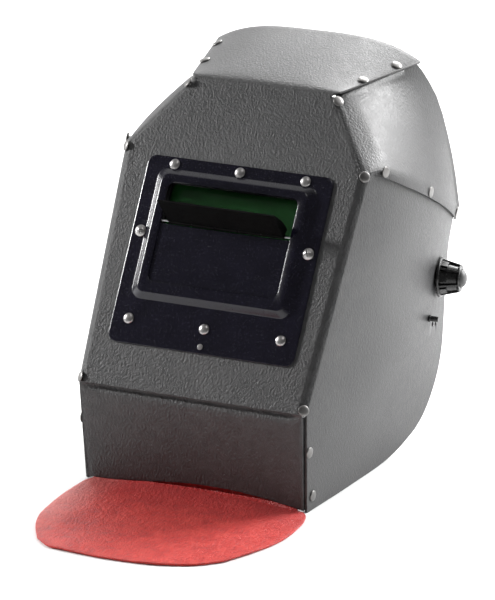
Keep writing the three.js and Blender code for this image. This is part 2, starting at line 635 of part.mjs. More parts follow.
const boltBody = lathe([[0, -BOLT.inward - BOLT.headHeight], [BOLT.head, -BOLT.inward - BOLT.headHeight],
  [BOLT.head, -BOLT.inward],
  [BOLT.radius, -BOLT.inward], [BOLT.radius, BOLT.out], [0, BOLT.out]], 12);
const pegBody = lathe([[0, -PEG.inward], [PEG.radius, -PEG.inward], [PEG.radius, 0.6], [PEG.collar, 0.6],
  [PEG.collar, 1.8], [PEG.radius + 0.3, 2.4], [PEG.radius, PEG.outward - 0.8], [PEG.radius - 0.6, PEG.outward],
  [0, PEG.outward]], 10);
for (const [side, sign] of [["left", 1], ["right", -1]]) {
  const place = (name, geometry, look, point, axis, offset) => {
    const site = { point: point.clone().addScaledVector(axis, offset), normal: axis };
    const { point: p, normal: n } = sign > 0 ? site : mirrored(site);
    add(name, geometry, look).applyMatrix4(along(p, n));
  };
  place("tension_knob_" + side, knobBody, blackPlastic, pivotPoint, knobAxis, KNOB.stand);
  const capSeat = KNOB.stand + KNOB.length - KNOB.seatDepth + GAP;
  place("knob_cap_" + side, capBody, greyPlastic, pivotPoint, knobAxis, capSeat);
  place("pivot_bolt_" + side, boltBody, steel, pivotPoint, knobAxis, 0);
  place("stop_peg_" + side, pegBody, blackPlastic, pegHoles[0].point, pegHoles[0].normal, 0);
}

// ---- head harness, in a frame at the pivot line: y runs back, z up ----
const harness = new THREE.Group();
const ARM_X = 98; // the pivot arms' eyes lie this far out, where the tilted bolts cross them
harness.position.set(0, PIVOT.y - Math.tan(KNOB_YAW) * (pivotPoint.x - ARM_X), PIVOT.z);
harness.rotation.x = HARNESS_TILT;
whole.add(harness);

// A band of even thickness along a route in plan, extruded upward.
function band(route, thickness, low, high) {
  const left = [];
  const right = [];
  route.forEach((p, i) => {
    const before = route[Math.max(i - 1, 0)];
    const after = route[Math.min(i + 1, route.length - 1)];
    const way = new THREE.Vector2().subVectors(after, before).normalize();
    const normal = new THREE.Vector2(-way.y, way.x).multiplyScalar(thickness / 2);
    left.push(p.clone().add(normal));
    right.push(p.clone().sub(normal));
  });
  const shape = new THREE.Shape([...right, ...left.reverse()]);
  return new THREE.ExtrudeGeometry(shape, { depth: high - low, bevelEnabled: false }).translate(0, 0, low);
}
// The front bow of the head, from one leg round the forehead to the other.
function headBow(half, reach, leg, steps = 20) {
  const route = [new THREE.Vector2(half, leg)];
  if (leg > 20) route.push(new THREE.Vector2(half, leg / 2));
  for (let i = 0; i <= steps; i++) {
    const angle = (i / steps) * Math.PI;
    route.push(new THREE.Vector2(half * Math.cos(angle), -reach * Math.sin(angle)));
  }
  if (leg > 20) route.push(new THREE.Vector2(-half, leg / 2));
  route.push(new THREE.Vector2(-half, leg));
  return route.reverse();
}
const BAND_LOW = -BAND.height / 2;
const headbandShape = band(headBow(BAND.half, BAND.front, BAND.leg), BAND.sheet, BAND_LOW, -BAND_LOW);
add("headband", headbandShape, blackPlastic, harness);

const padRoute = headBow(BAND.half - 4.4, BAND.front - 4.4, 0, 24).slice(4, -4);
add("sweatband", band(padRoute, 6.5, BAND_LOW - 3, 3 - BAND_LOW), foam, harness);

const REAR = { half: BAND.half - BAND.sheet - GAP, legFront: 12, legBack: 30, reach: 62 };
const rearRoute = [new THREE.Vector2(-REAR.half, REAR.legFront), new THREE.Vector2(-REAR.half, REAR.legBack)];
for (let i = 1; i < 16; i++) {
  const angle = (i / 16) * Math.PI;
  rearRoute.push(new THREE.Vector2(-REAR.half * Math.cos(angle), REAR.legBack + REAR.reach * Math.sin(angle)));
}
rearRoute.push(new THREE.Vector2(REAR.half, REAR.legBack), new THREE.Vector2(REAR.half, REAR.legFront));
add("rear_band", band(rearRoute, BAND.sheet, BAND_LOW + 3, -BAND_LOW - 3), blackPlastic, harness);

const RATCHET = { radius: 19, length: 13, flutes: 12 };
const ratchetCutters = Array.from({ length: RATCHET.flutes }, (_, i) => {
  const angle = (i / RATCHET.flutes) * Math.PI * 2;
  const centre = new THREE.Vector3(Math.cos(angle) * 20.5, Math.sin(angle) * 20.5, 7);
  return solid(rod(3, 20, 8), new THREE.Matrix4().setPosition(centre));
});
const ratchet = cut(lathe([[0, 0], [RATCHET.radius, 0], [RATCHET.radius, RATCHET.length - 2],
  [RATCHET.radius - 2, RATCHET.length], [0, RATCHET.length]], 24), ratchetCutters);
const ratchetMesh = add("ratchet_knob", ratchet, blackPlastic, harness);
ratchetMesh.rotation.x = -Math.PI / 2;
ratchetMesh.position.y = REAR.legBack + REAR.reach + BAND.sheet / 2 + GAP;

// The crown strap arches over the head between the band's sides.
const CROWN = { half: BAND.half + BAND.sheet / 2 + GAP + 0.6, rise: 100, width: 20, y: -12, foot: -8 };
const crownRoute = [new THREE.Vector2(CROWN.half, CROWN.foot)];
for (let i = 0; i <= 20; i++) {
  const angle = (i / 20) * Math.PI;
  crownRoute.push(new THREE.Vector2(
    CROWN.half * Math.cos(angle), BAND.height / 2 + CROWN.rise * Math.sin(angle)));
}
crownRoute.push(new THREE.Vector2(-CROWN.half, CROWN.foot));
const crown = band(crownRoute, 1.2, -CROWN.width / 2, CROWN.width / 2)
  .rotateX(Math.PI / 2).translate(0, CROWN.y, 0);
add("crown_strap", crown, blackPlastic, harness);

// A pivot arm: a round eye beside the shell and a strip that steps in to the headband's side.
const ARM = {
  eyeX: ARM_X, sheet: 3, eye: 13, width: 18, bore: 4.2, band: BAND.half + BAND.sheet / 2 + GAP + 1.5,
};
const armRoute = [[ARM.eyeX, 6], [ARM.eyeX, 16], [ARM.band + 5, 34], [ARM.band, 40], [ARM.band, 58]]
  .map(([x, y]) => new THREE.Vector2(x, y));

// The tab's edge meets the stop peg, which holds the shell from tipping further down over the face.
const TAB = { width: 9, top: 3, reach: 41, turn: THREE.MathUtils.degToRad(-14) };
const stopTab = new THREE.BoxGeometry(ARM.sheet, TAB.width, TAB.top + TAB.reach)
  .translate(ARM.eyeX, 0, (TAB.top - TAB.reach) / 2)
  .applyMatrix4(new THREE.Matrix4().makeRotationX(TAB.turn));
const armBody = join([
  band(armRoute, ARM.sheet, -ARM.width / 2, ARM.width / 2),
  rod(ARM.eye, ARM.sheet).rotateY(Math.PI / 2).translate(ARM.eyeX, 0, 0),
  stopTab,
]).subtract(solid(rod(ARM.bore, 12, 16).rotateY(Math.PI / 2).translate(ARM.eyeX, 0, 0)));
const armGeometry = geometryOf(armBody);
for (const [side, sign] of [["left", 1], ["right", -1]]) {
  add("pivot_arm_" + side, armGeometry, blackPlastic, harness).scale.x = sign;
}

// ---- leather bib: fixed inside the chin, turned forward under the arched edge and laid on the floor ----
const bibOutline = new THREE.Shape();
bibOutline.moveTo(-BIB.neck, 15);
bibOutline.lineTo(-BIB.neck, 6.5);
bibOutline.lineTo(-97, 5);
bibOutline.bezierCurveTo(-102, -40, -108, -80, -82, -122);
bibOutline.bezierCurveTo(-60, -156, -40, -162, 0, -164);
bibOutline.bezierCurveTo(50, -166, 92, -146, 106, -100);
bibOutline.bezierCurveTo(118, -60, 108, -20, 97, 5);
bibOutline.lineTo(BIB.neck, 6.5);
bibOutline.lineTo(BIB.neck, 15);
bibOutline.closePath();
const bib = new THREE.ExtrudeGeometry(bibOutline, {
  depth: BIB.thickness, bevelEnabled: false, curveSegments: 10,
});
add("leather_bib", bib, redLeather);

export default whole;
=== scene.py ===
"""Welding helmet of folded fibre sheet: visible surfaces, finishes, light and camera.

Points are worked out in millimetres in a working frame whose y = 0 lies on the crease
between the front and chin panels. place() turns them into the model's frame in metres.
Left and right are the wearer's: left is +X.
"""
import math

import bmesh
import bpy
from mathutils import Matrix, Vector, noise


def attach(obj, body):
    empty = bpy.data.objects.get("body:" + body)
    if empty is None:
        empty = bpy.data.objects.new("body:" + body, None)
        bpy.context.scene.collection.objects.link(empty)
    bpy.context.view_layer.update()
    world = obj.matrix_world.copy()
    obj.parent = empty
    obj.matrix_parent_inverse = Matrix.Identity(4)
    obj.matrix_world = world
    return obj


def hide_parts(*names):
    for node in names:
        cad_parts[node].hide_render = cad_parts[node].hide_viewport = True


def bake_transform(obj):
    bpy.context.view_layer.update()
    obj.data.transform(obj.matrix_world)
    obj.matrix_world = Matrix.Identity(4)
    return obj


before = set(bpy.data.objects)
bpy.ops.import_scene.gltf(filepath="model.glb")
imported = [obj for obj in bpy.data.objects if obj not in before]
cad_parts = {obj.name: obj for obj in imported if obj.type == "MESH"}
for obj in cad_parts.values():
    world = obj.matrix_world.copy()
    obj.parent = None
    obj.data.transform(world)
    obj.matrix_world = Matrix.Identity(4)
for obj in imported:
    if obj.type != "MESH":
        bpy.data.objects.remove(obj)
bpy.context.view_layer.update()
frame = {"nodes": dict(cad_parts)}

MM = 0.001
FRAME_Y = 97.93  # the working frame's y at the middle of the model
SHEET = 2.0  # thickness of the fibre
CREASE_Z = 88.0  # height of the crease between chin and front
LEAN = math.radians(29.4)  # the front's lean from upright
SIN, COS = math.sin(LEAN), math.cos(LEAN)
SHOULDER_H = 207.0  # heights measured up the front from the crease
BROW_H = 271.0
LAP = 2.5  # how far the upper side stands out over the lower side
SEAM_Y, SEAM_Z, SEAM_SLOPE = 104.0, 270.2, -0.469
PIVOT_Y, PIVOT_Z = 254.5, 139.0
KNOB_YAW = math.radians(12)
WINDOW_HALF, WINDOW_LOW, WINDOW_HIGH = 60.3, 92.0, 178.0
SHUTTER_H, SHUTTER_N, SHUTTER_TILT = 145.0, 3.7, math.radians(21)
SHUTTER_HALF, SHUTTER_LENGTH = 54.0, 30.5
CHEEK = 7.8
PEG_HOLES = [(-27.5, -29.0), (-14.0, -38.5), (-4.0, -41.0)]  # from the pivot, the peg sits in the first
HARNESS_TILT = math.radians(-15)
ARM_X = 98.0


def mix(a, b, t):
    return a + (b - a) * t


def smooth(low, high, value):
    t = min(max((value - low) / (high - low), 0.0), 1.0)
    return t * t * (3 - 2 * t)


def place(p):
    return Vector((p[0], p[1] - FRAME_Y, p[2])) * MM


def mirror_x(v):
    return Vector((-v.x, v.y, v.z))


def on_front(x, h, n):
    return Vector((x, SIN * h - COS * n, CREASE_Z + COS * h + SIN * n))


# ---- mesh building ----
def make_piece(name, vertices, faces, material, body="shell", nodes=(), smooth_faces=True):
    mesh = bpy.data.meshes.new(name)
    mesh.from_pydata([tuple(v) for v in vertices], [], faces)
    mesh.validate()
    mesh.update()
    piece = bpy.data.objects.new(name, mesh)
    bpy.context.scene.collection.objects.link(piece)
    mesh.materials.append(material)
    if smooth_faces:
        mesh.polygons.foreach_set("use_smooth", [True] * len(mesh.polygons))
    finish_piece(piece, body, nodes)
    return piece


def finish_piece(piece, body, nodes):
    if body:
        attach(piece, body)
    if nodes:
        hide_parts(*nodes)


def modifier(piece, kind, **settings):
    made = piece.modifiers.new(kind.lower(), kind)
    for key, value in settings.items():
        setattr(made, key, value)
    return made


def apply_modifiers(piece):
    graph = bpy.context.evaluated_depsgraph_get()
    mesh = bpy.data.meshes.new_from_object(piece.evaluated_get(graph), depsgraph=graph)
    piece.modifiers.clear()
    piece.data = mesh
    return piece


def face_outward(piece):
    mesh = bmesh.new()
    mesh.from_mesh(piece.data)
    bmesh.ops.recalc_face_normals(mesh, faces=mesh.faces)
    mesh.to_mesh(piece.data)
    mesh.free()


def rounded(piece, width, segments=2, angle=40):
    modifier(piece, "BEVEL", width=width * MM, segments=segments, limit_method="ANGLE",
             angle_limit=math.radians(angle), harden_normals=False)
    modifier(piece, "WEIGHTED_NORMAL", keep_sharp=True)
    return piece


class Surface:
    """Grids of points that share the vertices they have in common."""

    def __init__(self):
        self.points = []
        self.faces = []
        self.known = {}

    def vertex(self, p):
        key = (round(p[0], 2), round(p[1], 2), round(p[2], 2))
        if key not in self.known:
            self.known[key] = len(self.points)
            self.points.append(Vector(p))
        return self.known[key]

    def grid(self, rows, flip=False, keep=lambda r, c: True):
        ids = [[self.vertex(p) for p in row] for row in rows]
        for r in range(len(rows) - 1):
            for c in range(len(rows[0]) - 1):
                if not keep(r, c):
                    continue
                corner = [ids[r][c], ids[r][c + 1], ids[r + 1][c + 1], ids[r + 1][c]]
                corner = [v for i, v in enumerate(corner) if v != corner[i - 1]]
                if len(corner) > 2:
                    self.faces.append(corner[::-1] if flip else corner)


# Faces of a box whose eight corners are given as two rings of four.
BOX_FACES = [(3, 2, 1, 0), (4, 5, 6, 7), (0, 1, 5, 4), (1, 2, 6, 5), (2, 3, 7, 6), (3, 0, 4, 7)]


def lathe(profile, steps=40):
    """Vertices and faces of a profile of (radius, height) turned about Z."""
    vertices, rings, faces = [], [], []
    for radius, height in profile:
        if radius < 1e-6:
            rings.append([len(vertices)])
            vertices.append(Vector((0, 0, height)))
            continue
        rings.append(list(range(len(vertices), len(vertices) + steps)))
        for i in range(steps):
            angle = 2 * math.pi * i / steps
            vertices.append(Vector((radius * math.cos(angle), radius * math.sin(angle), height)))
    for below, above in zip(rings, rings[1:]):
        for i in range(steps):
            j = (i + 1) % steps
            quad = [below[i % len(below)], below[j % len(below)], above[j % len(above)],
                    above[i % len(above)]]
            quad = [v for k, v in enumerate(quad) if v != quad[k - 1]]
            if len(quad) > 2:
                faces.append(quad)
    return vertices, faces


def placed(vertices, turn):
    """Local millimetre points through a working-frame matrix and into metres."""
    return [place(turn @ v) for v in vertices]


def along(point, direction):
    turn = Vector(direction).to_track_quat("Z", "Y").to_matrix().to_4x4()
    return Matrix.Translation(Vector(point)) @ turn


FRONT_TURN = Matrix(((1, 0, 0, 0), (0, SIN, -COS, 0), (0, COS, SIN, CREASE_Z), (0, 0, 0, 1)))


# ---- finishes ----
class Nodes:
    """A material whose nodes are added one call at a time."""

    def __init__(self, name):
        self.material = bpy.data.materials.new(name)
        self.material.use_nodes = True
        self.tree = self.material.node_tree
        self.shader = self.tree.nodes["Principled BSDF"]
        self.coords = self.tree.nodes.new("ShaderNodeTexCoord").outputs["Object"]

    def add(self, kind, inputs=None, **settings):
        node = self.tree.nodes.new(kind)
        for key, value in settings.items():
            setattr(node, key, value)
        for key, value in (inputs or {}).items():
            if isinstance(value, bpy.types.NodeSocket):
                self.tree.links.new(value, node.inputs[key])
            else:
                node.inputs[key].default_value = value
        return node

    def noise(self, scale, detail=4.0, roughness=0.55, vector=None):
        inputs = {"Vector": vector or self.coords, "Scale": scale, "Detail": detail, "Roughness": roughness}
        return self.add("ShaderNodeTexNoise", inputs).outputs["Fac"]

    def ramp(self, value, stops):
        node = self.add("ShaderNodeValToRGB", {"Fac": value})
        elements = node.color_ramp.elements
        while len(elements) < len(stops):
            elements.new(0.5)
        for element, (position, colour) in zip(elements, stops):
            element.position = position
            element.color = (*colour, 1) if len(colour) == 3 else colour
        return node.outputs["Color"]

    def math(self, operation, a, b=0.0, c=0.0):
        return self.add("ShaderNodeMath", {0: a, 1: b, 2: c}, operation=operation).outputs[0]

    def remap(self, value, low, high, to_low, to_high):
        inputs = {"Value": value, "From Min": low, "From Max": high, "To Min": to_low, "To Max": to_high}
        return self.add("ShaderNodeMapRange", inputs).outputs["Result"]

    def bump(self, height, distance, strength=1.0, below=None):
        inputs = {"Height": height, "Distance": distance, "Strength": strength}
        if below:
            inputs["Normal"] = below
        return self.add("ShaderNodeBump", inputs).outputs["Normal"]

    def set(self, **sockets):
        for key, value in sockets.items():
            name = key.replace("_", " ")
            if isinstance(value, bpy.types.NodeSocket):
                self.tree.links.new(value, self.shader.inputs[name])
            else:
                self.shader.inputs[name].default_value = value
        return self.material


def grey(v):
    return (v, v, v)


def fibre_finish():
    """Charcoal vulcanised fibre: a fine pebbled grain, faint mottling and rubbed high spots."""
    n = Nodes("fibre")
    broad = n.noise(14, 3)
    mottle = n.noise(120, 5, 0.6)
    stretched = n.add("ShaderNodeMapping", {"Vector": n.coords, "Scale": (1.0, 1.0, 0.62)}).outputs["Vector"]
    pebble = n.add("ShaderNodeTexVoronoi", {"Vector": stretched, "Scale": 640.0, "Smoothness": 1.0},
                   feature="SMOOTH_F1").outputs["Distance"]
    fine = n.noise(760, 6, 0.65, stretched)
    grain = n.math("ADD", n.math("MULTIPLY", pebble, 0.7), n.math("MULTIPLY", fine, 0.9))
    tone = n.math("ADD", n.math("MULTIPLY", broad, 0.35), n.math("MULTIPLY", mottle, 0.65))
    colour = n.ramp(tone, [(0.3, (0.030, 0.030, 0.031)), (0.5, (0.046, 0.046, 0.047)),
                           (0.72, (0.068, 0.068, 0.068))])
    speck = n.math("GREATER_THAN", n.noise(1500, 2, 0.5), 0.735)
    colour = n.add("ShaderNodeMix", {"Factor": n.math("MULTIPLY", speck, 0.35), "A": colour,
                                     "B": (0.32, 0.32, 0.32, 1)},
                   data_type="RGBA").outputs["Result"]
    roughness = n.remap(mottle, 0.3, 0.7, 0.40, 0.52)
    facing = n.add("ShaderNodeNewGeometry").outputs["Normal"]
    forward = n.math("MULTIPLY", n.add("ShaderNodeSeparateXYZ", {"Vector": facing}).outputs["Y"], -1.0)
    depth = n.remap(forward, 0.2, 0.7, 0.30, 1.0)
    return n.set(Base_Color=colour, Roughness=roughness, Normal=n.bump(grain, 0.0009, depth))


def steel_paint_finish():
    """Semi-gloss blue-black paint on pressed steel, with dust specks and faint scuffs."""
    n = Nodes("black_steel")
    cloud = n.noise(60, 4)
    colour = n.ramp(cloud, [(0.3, (0.0040, 0.0034, 0.0090)), (0.7, (0.0075, 0.0066, 0.0150))])
    speck = n.math("GREATER_THAN", n.noise(1300, 2, 0.5), 0.715)
    colour = n.add("ShaderNodeMix", {"Factor": n.math("MULTIPLY", speck, 0.4), "A": colour,
                                     "B": (0.25, 0.25, 0.27, 1)},
                   data_type="RGBA").outputs["Result"]
    scuff = n.noise(420, 5, 0.7)
    return n.set(Base_Color=colour, Roughness=n.remap(scuff, 0.35, 0.7, 0.18, 0.30), IOR=1.5,
                 Normal=n.bump(n.noise(700, 3), 0.00005, 0.6))


def metal_finish(name, colour, low, high, scale=900):
    n = Nodes(name)
    wear = n.noise(scale, 4, 0.6)
    tint = n.ramp(n.noise(250, 3), [(0.3, tuple(c * 0.82 for c in colour)), (0.7, colour)])
    return n.set(Base_Color=tint, Metallic=1.0, Roughness=n.remap(wear, 0.3, 0.7, low, high),
                 Normal=n.bump(wear, 0.00004, 0.5))


def plastic_finish(name, dark, light, low, high, grain=0.00004):
    n = Nodes(name)
    cloud = n.noise(90, 4)
    colour = n.ramp(cloud, [(0.3, dark), (0.7, light)])
    return n.set(Base_Color=colour, Roughness=n.remap(n.noise(500, 4), 0.3, 0.7, low, high),
                 Normal=n.bump(n.noise(1400, 3), grain, 0.6))


def rubber_finish():
    n = Nodes("rubber")
    cloud = n.noise(200, 4)
    return n.set(Base_Color=n.ramp(cloud, [(0.3, grey(0.008)), (0.7, grey(0.016))]),
                 Roughness=n.remap(cloud, 0.3, 0.7, 0.75, 0.9), Normal=n.bump(n.noise(900, 3), 0.00006, 0.6))


def green_glass_finish():
    """Welding filter glass: deep green, polished, with faint dust."""
    n = Nodes("green_glass")
    cloud = n.noise(40, 3)
    colour = n.ramp(cloud, [(0.3, (0.022, 0.105, 0.026)), (0.7, (0.032, 0.14, 0.037))])
    return n.set(Base_Color=colour, Roughness=n.remap(n.noise(500, 4), 0.3, 0.75, 0.06, 0.18),
                 Normal=n.bump(n.noise(12, 2), 0.00005, 0.4))


def clear_glass_finish():
    n = Nodes("clear_glass")
    cloud = n.noise(500, 4)
    return n.set(Base_Color=n.ramp(cloud, [(0.3, (0.93, 0.97, 0.95)), (0.7, (0.98, 1.0, 0.99))]),
                 Roughness=n.remap(cloud, 0.3, 0.7, 0.0, 0.03), Transmission_Weight=1.0, IOR=1.02)


def foam_finish():
    """Cloth-faced foam: a fine plain weave from two crossed wave patterns."""
    n = Nodes("foam")
    warp = n.add("ShaderNodeTexWave", {"Vector": n.coords, "Scale": 420.0, "Distortion": 0.6},
                 bands_direction="X").outputs["Fac"]
    weft = n.add("ShaderNodeTexWave", {"Vector": n.coords, "Scale": 420.0, "Distortion": 0.6},
                 bands_direction="Z").outputs["Fac"]
    weave = n.math("MAXIMUM", warp, weft)
    tone = n.math("ADD", n.math("MULTIPLY", weave, 0.5), n.math("MULTIPLY", n.noise(300, 4), 0.5))
    return n.set(Base_Color=n.ramp(tone, [(0.3, (0.012, 0.012, 0.015)), (0.8, (0.040, 0.040, 0.046))]),
                 Roughness=0.92, Sheen_Weight=0.35, Sheen_Roughness=0.5, Normal=n.bump(weave, 0.00025, 0.7))


def leather_finish():
    """Red split leather: creased grain, a paler painted highlight on the wrinkle tops towards the wearer's
    right, and painted shade, a deeper red, near the chin.
    """
    n = Nodes("red_leather")
    warp = n.noise(60, 3)
    creases = n.add("ShaderNodeTexVoronoi", {"Vector": n.coords, "Scale": 260.0, "Randomness": 1.0},
                    feature="DISTANCE_TO_EDGE").outputs["Distance"]
    stretched = n.add("ShaderNodeMapping", {"Vector": n.coords, "Scale": (1.0, 0.5, 1.0),
                                            "Rotation": (0.0, 0.0, 0.5)}).outputs["Vector"]
    wrinkle = n.noise(340, 8, 0.60, stretched)
    fine = n.noise(1100, 5, 0.6)
    tone = n.math("ADD", n.math("MULTIPLY", warp, 0.45), n.math("MULTIPLY", wrinkle, 0.55))
    colour = n.ramp(tone, [(0.34, (0.44, 0.012, 0.009)), (0.47, (0.58, 0.022, 0.015)),
                           (0.62, (0.70, 0.050, 0.035))])
    split = n.add("ShaderNodeSeparateXYZ", {"Vector": n.coords}).outputs
    # Painted shade: the leather turns a deeper red towards the chin, where the helmet shades it.
    deep = n.remap(split["Y"], -0.15, -0.095, 0.0, 0.8)
    colour = n.add("ShaderNodeMix", {"Factor": deep, "A": colour, "B": (0.42, 0.008, 0.008, 1)},
                   data_type="RGBA").outputs["Result"]
    # Painted highlight: the wrinkle tops towards the wearer's right (-X) are mixed paler.
    lighter = n.math("MULTIPLY", n.remap(split["X"], -0.06, -0.102, 0.0, 0.5),
                    n.remap(wrinkle, 0.35, 0.6, 0.4, 1.0))
    colour = n.add("ShaderNodeMix", {"Factor": lighter, "A": colour, "B": (0.78, 0.32, 0.28, 1)},
                   data_type="RGBA").outputs["Result"]
    height = n.math("ADD", n.math("MULTIPLY", wrinkle, 1.5), n.math("MULTIPLY", fine, 0.3))
    height = n.math("ADD", height, n.math("MULTIPLY", n.math("MINIMUM", creases, 0.12), 1.4))
    return n.set(Base_Color=colour, Roughness=n.remap(wrinkle, 0.3, 0.7, 0.42, 0.6),
                 Normal=n.bump(height, 0.0013, 0.9), Sheen_Weight=0.08)


fibre = fibre_finish()
black_steel = steel_paint_finish()
nickel = metal_finish("nickel", (0.47, 0.455, 0.45), 0.30, 0.44)
dull_nickel = metal_finish("dull_nickel", (0.22, 0.215, 0.21), 0.34, 0.5)
steel = metal_finish("steel", (0.50, 0.50, 0.51), 0.24, 0.4)
clear_glass = clear_glass_finish()
green_glass = green_glass_finish()
rubber = rubber_finish()
black_plastic = plastic_finish("black_plastic", grey(0.004), grey(0.008), 0.24, 0.36)
# A darker, almost unreflecting copy of the black plastic for the shutter: painted shade, since the shutter
# lies in shadow.
shutter_black_painted_shade = plastic_finish("shutter_black_painted_shade", grey(0.002), grey(0.004), 0.42, 0.55)
shutter_black_painted_shade.node_tree.nodes["Principled BSDF"].inputs["Specular IOR Level"].default_value = 0.05
grey_plastic = plastic_finish("grey_plastic", grey(0.085), grey(0.12), 0.38, 0.52)
foam = foam_finish()
red_leather = leather_finish()

# ---- side surface ----
FLAT_CREASE, FLAT_SHOULDER, FLAT_BROW = 101.0, 108.5, 64.5
BEVEL_OUT, BEVEL_BACK = 5.0, -4.5


def flat_half(h):
    if h <= SHOULDER_H:
        return mix(FLAT_CREASE, FLAT_SHOULDER, max(h, 0) / SHOULDER_H)
    return mix(FLAT_SHOULDER, FLAT_BROW, (h - SHOULDER_H) / (BROW_H - SHOULDER_H))


def brow_set(h):
    return -7 * ((h - SHOULDER_H) / (BROW_H - SHOULDER_H)) ** 1.4 if h > SHOULDER_H else 0.0


def margin_direction(h):
    turn = smooth(202, 211, h)
    rise = 0.565 * turn * (1 - smooth(258, BROW_H, h))
    return mix(1.0, 0.825, turn), rise


def margin_point(h, out, n):
    """A point of the front panel's margin, out from the flat's edge and n from its plane."""
    dx, dh = margin_direction(h)
    return on_front(flat_half(h) + out * dx, h + out * dh, brow_set(h) + n)


def edge_point(h):
    return margin_point(h, BEVEL_OUT, BEVEL_BACK)


EDGE_START = edge_point(1.4)


def front_edge_y(z):
    if z >= EDGE_START.z:
        return EDGE_START.y + (z - EDGE_START.z) * math.tan(LEAN)
    return mix(11.0, EDGE_START.y, z / EDGE_START.z)


def front_edge_half(z):
    if z >= EDGE_START.z:
        return mix(EDGE_START.x, 113.5, (z - EDGE_START.z) / (266.1 - EDGE_START.z))
    return mix(103.5, EDGE_START.x, z / EDGE_START.z)


def side_x(y, z):
    start = front_edge_y(z)
    s = (y - start) / (290 - start)
    rear = mix(101.5, 112, smooth(145, 220, z))
    bulge = mix(mix(3, 15.5, smooth(0, 110, z)), 13, smooth(150, 200, z))
    return front_edge_half(z) * (1 - s) + rear * s + 4 * bulge * s * (1 - s)


def side_normal(y, z):
    dy = (side_x(y + 1, z) - side_x(y - 1, z)) / 2
    dz = (side_x(y, z + 1) - side_x(y, z - 1)) / 2
    return Vector((1, -dy, -dz)).normalized()


def on_side(y, z, outward=0.0):
    return Vector((side_x(y, z), y, z)) + side_normal(y, z) * outward


def seam_z(y):
    return SEAM_Z + SEAM_SLOPE * (y - SEAM_Y)


def curve_through(points, steps=24):
    """A function of 0..1 by arc length along a smooth curve through the points."""
    ends = [points[0], *points, points[-1]]
    track = []
    for i in range(len(points) - 1):
        p0, p1, p2, p3 = (Vector(q) for q in ends[i:i + 4])
        for k in range(steps):
            t = k / steps
            track.append(0.5 * (2 * p1 + (p2 - p0) * t + (2 * p0 - 5 * p1 + 4 * p2 - p3) * t * t
                                + (3 * p1 - p0 - 3 * p2 + p3) * t * t * t))
    track.append(Vector(points[-1]))
    sums = [0.0]
    for a, b in zip(track, track[1:]):
        sums.append(sums[-1] + (b - a).length)

    def at(t):
        goal = min(max(t, 0.0), 1.0) * sums[-1]
        low, high = 0, len(sums) - 1
        while high - low > 1:
            middle = (low + high) // 2
            if sums[middle] <= goal:
                low = middle
            else:
                high = middle
        span = sums[high] - sums[low]
        return track[low].lerp(track[high], (goal - sums[low]) / span if span else 0.0)
    return at


def patch(bottom, top, front, rear, us, vs):
    """Four border functions of 0..1 blended into rows of points."""
    b0, b1, t0, t1 = bottom(0), bottom(1), top(0), top(1)
    rows = []
    for v in vs:
        f, r = front(v), rear(v)
        rows.append([
            bottom(u) * (1 - v) + top(u) * v + f * (1 - u) + r * u
            - b0 * ((1 - u) * (1 - v)) - b1 * (u * (1 - v)) - t0 * ((1 - u) * v) - t1 * (u * v)
            for u in us])
    return rows


def shares(points):
    """Each point's share of the polyline's length."""
    sums = [0.0]
    for a, b in zip(points, points[1:]):
        sums.append(sums[-1] + (b - a).length)
    return [s / sums[-1] for s in sums]


def polyline_point(points, positions, v):
    """The point at v along a polyline, whose points lie at the given positions of 0..1."""
    for i in range(len(positions) - 1):
        if v <= positions[i + 1] + 1e-9:
            t = (v - positions[i]) / (positions[i + 1] - positions[i])
            return points[i].lerp(points[i + 1], t)
    return points[-1]


# ---- top panel ----
def top_half(s):
    return mix(69, 96, s)


def top_point(u, s, drop=0.0):
    x = u * top_half(s)
    z = mix(324, 329.5, s) + 17 * max(s, 0) ** 0.8 * (1 - abs(u) ** 3.5) + 0.5
    return Vector((x, mix(142.7, 245, s), z - drop))


# ---- the folded blank: chin, front and top down the middle, the sides folded back from the front ----
shell = Surface()
INNER = 61.0  # half width of the window opening
HOLE_LOW, HOLE_HIGH = 91.4, 178.6
US = [i / 10 for i in range(-10, 11)]
OUTER_STEPS = [0.0, 0.12, 0.3, 0.5, 0.7, 0.86, 1.0]


def across(half):
    """x positions from -half to half, with fixed columns inside the window opening's edges."""
    inside = [INNER * u for u in US]
    outside = [mix(INNER, half, t) for t in OUTER_STEPS[1:]]
    return [-x for x in reversed(outside)] + inside + outside


def unevenness(p, amount=0.35):
    return amount * noise.noise(Vector(p) * 0.018)


CHIN_LOW = 1.7


def chin_rise(x):
    if x < 14:
        rise = 0.5 * (1 + math.cos(math.pi * min((14 - x) / 114, 1)))
    else:
        rise = 1 - min((x - 14) / 86, 1) ** 2
    return CHIN_LOW + 8.6 * rise


def chin_y(z):
    return 10 * (1 - z / CREASE_Z)


def chin_half(z):
    return mix(100.5, 103.2, z / CREASE_Z)


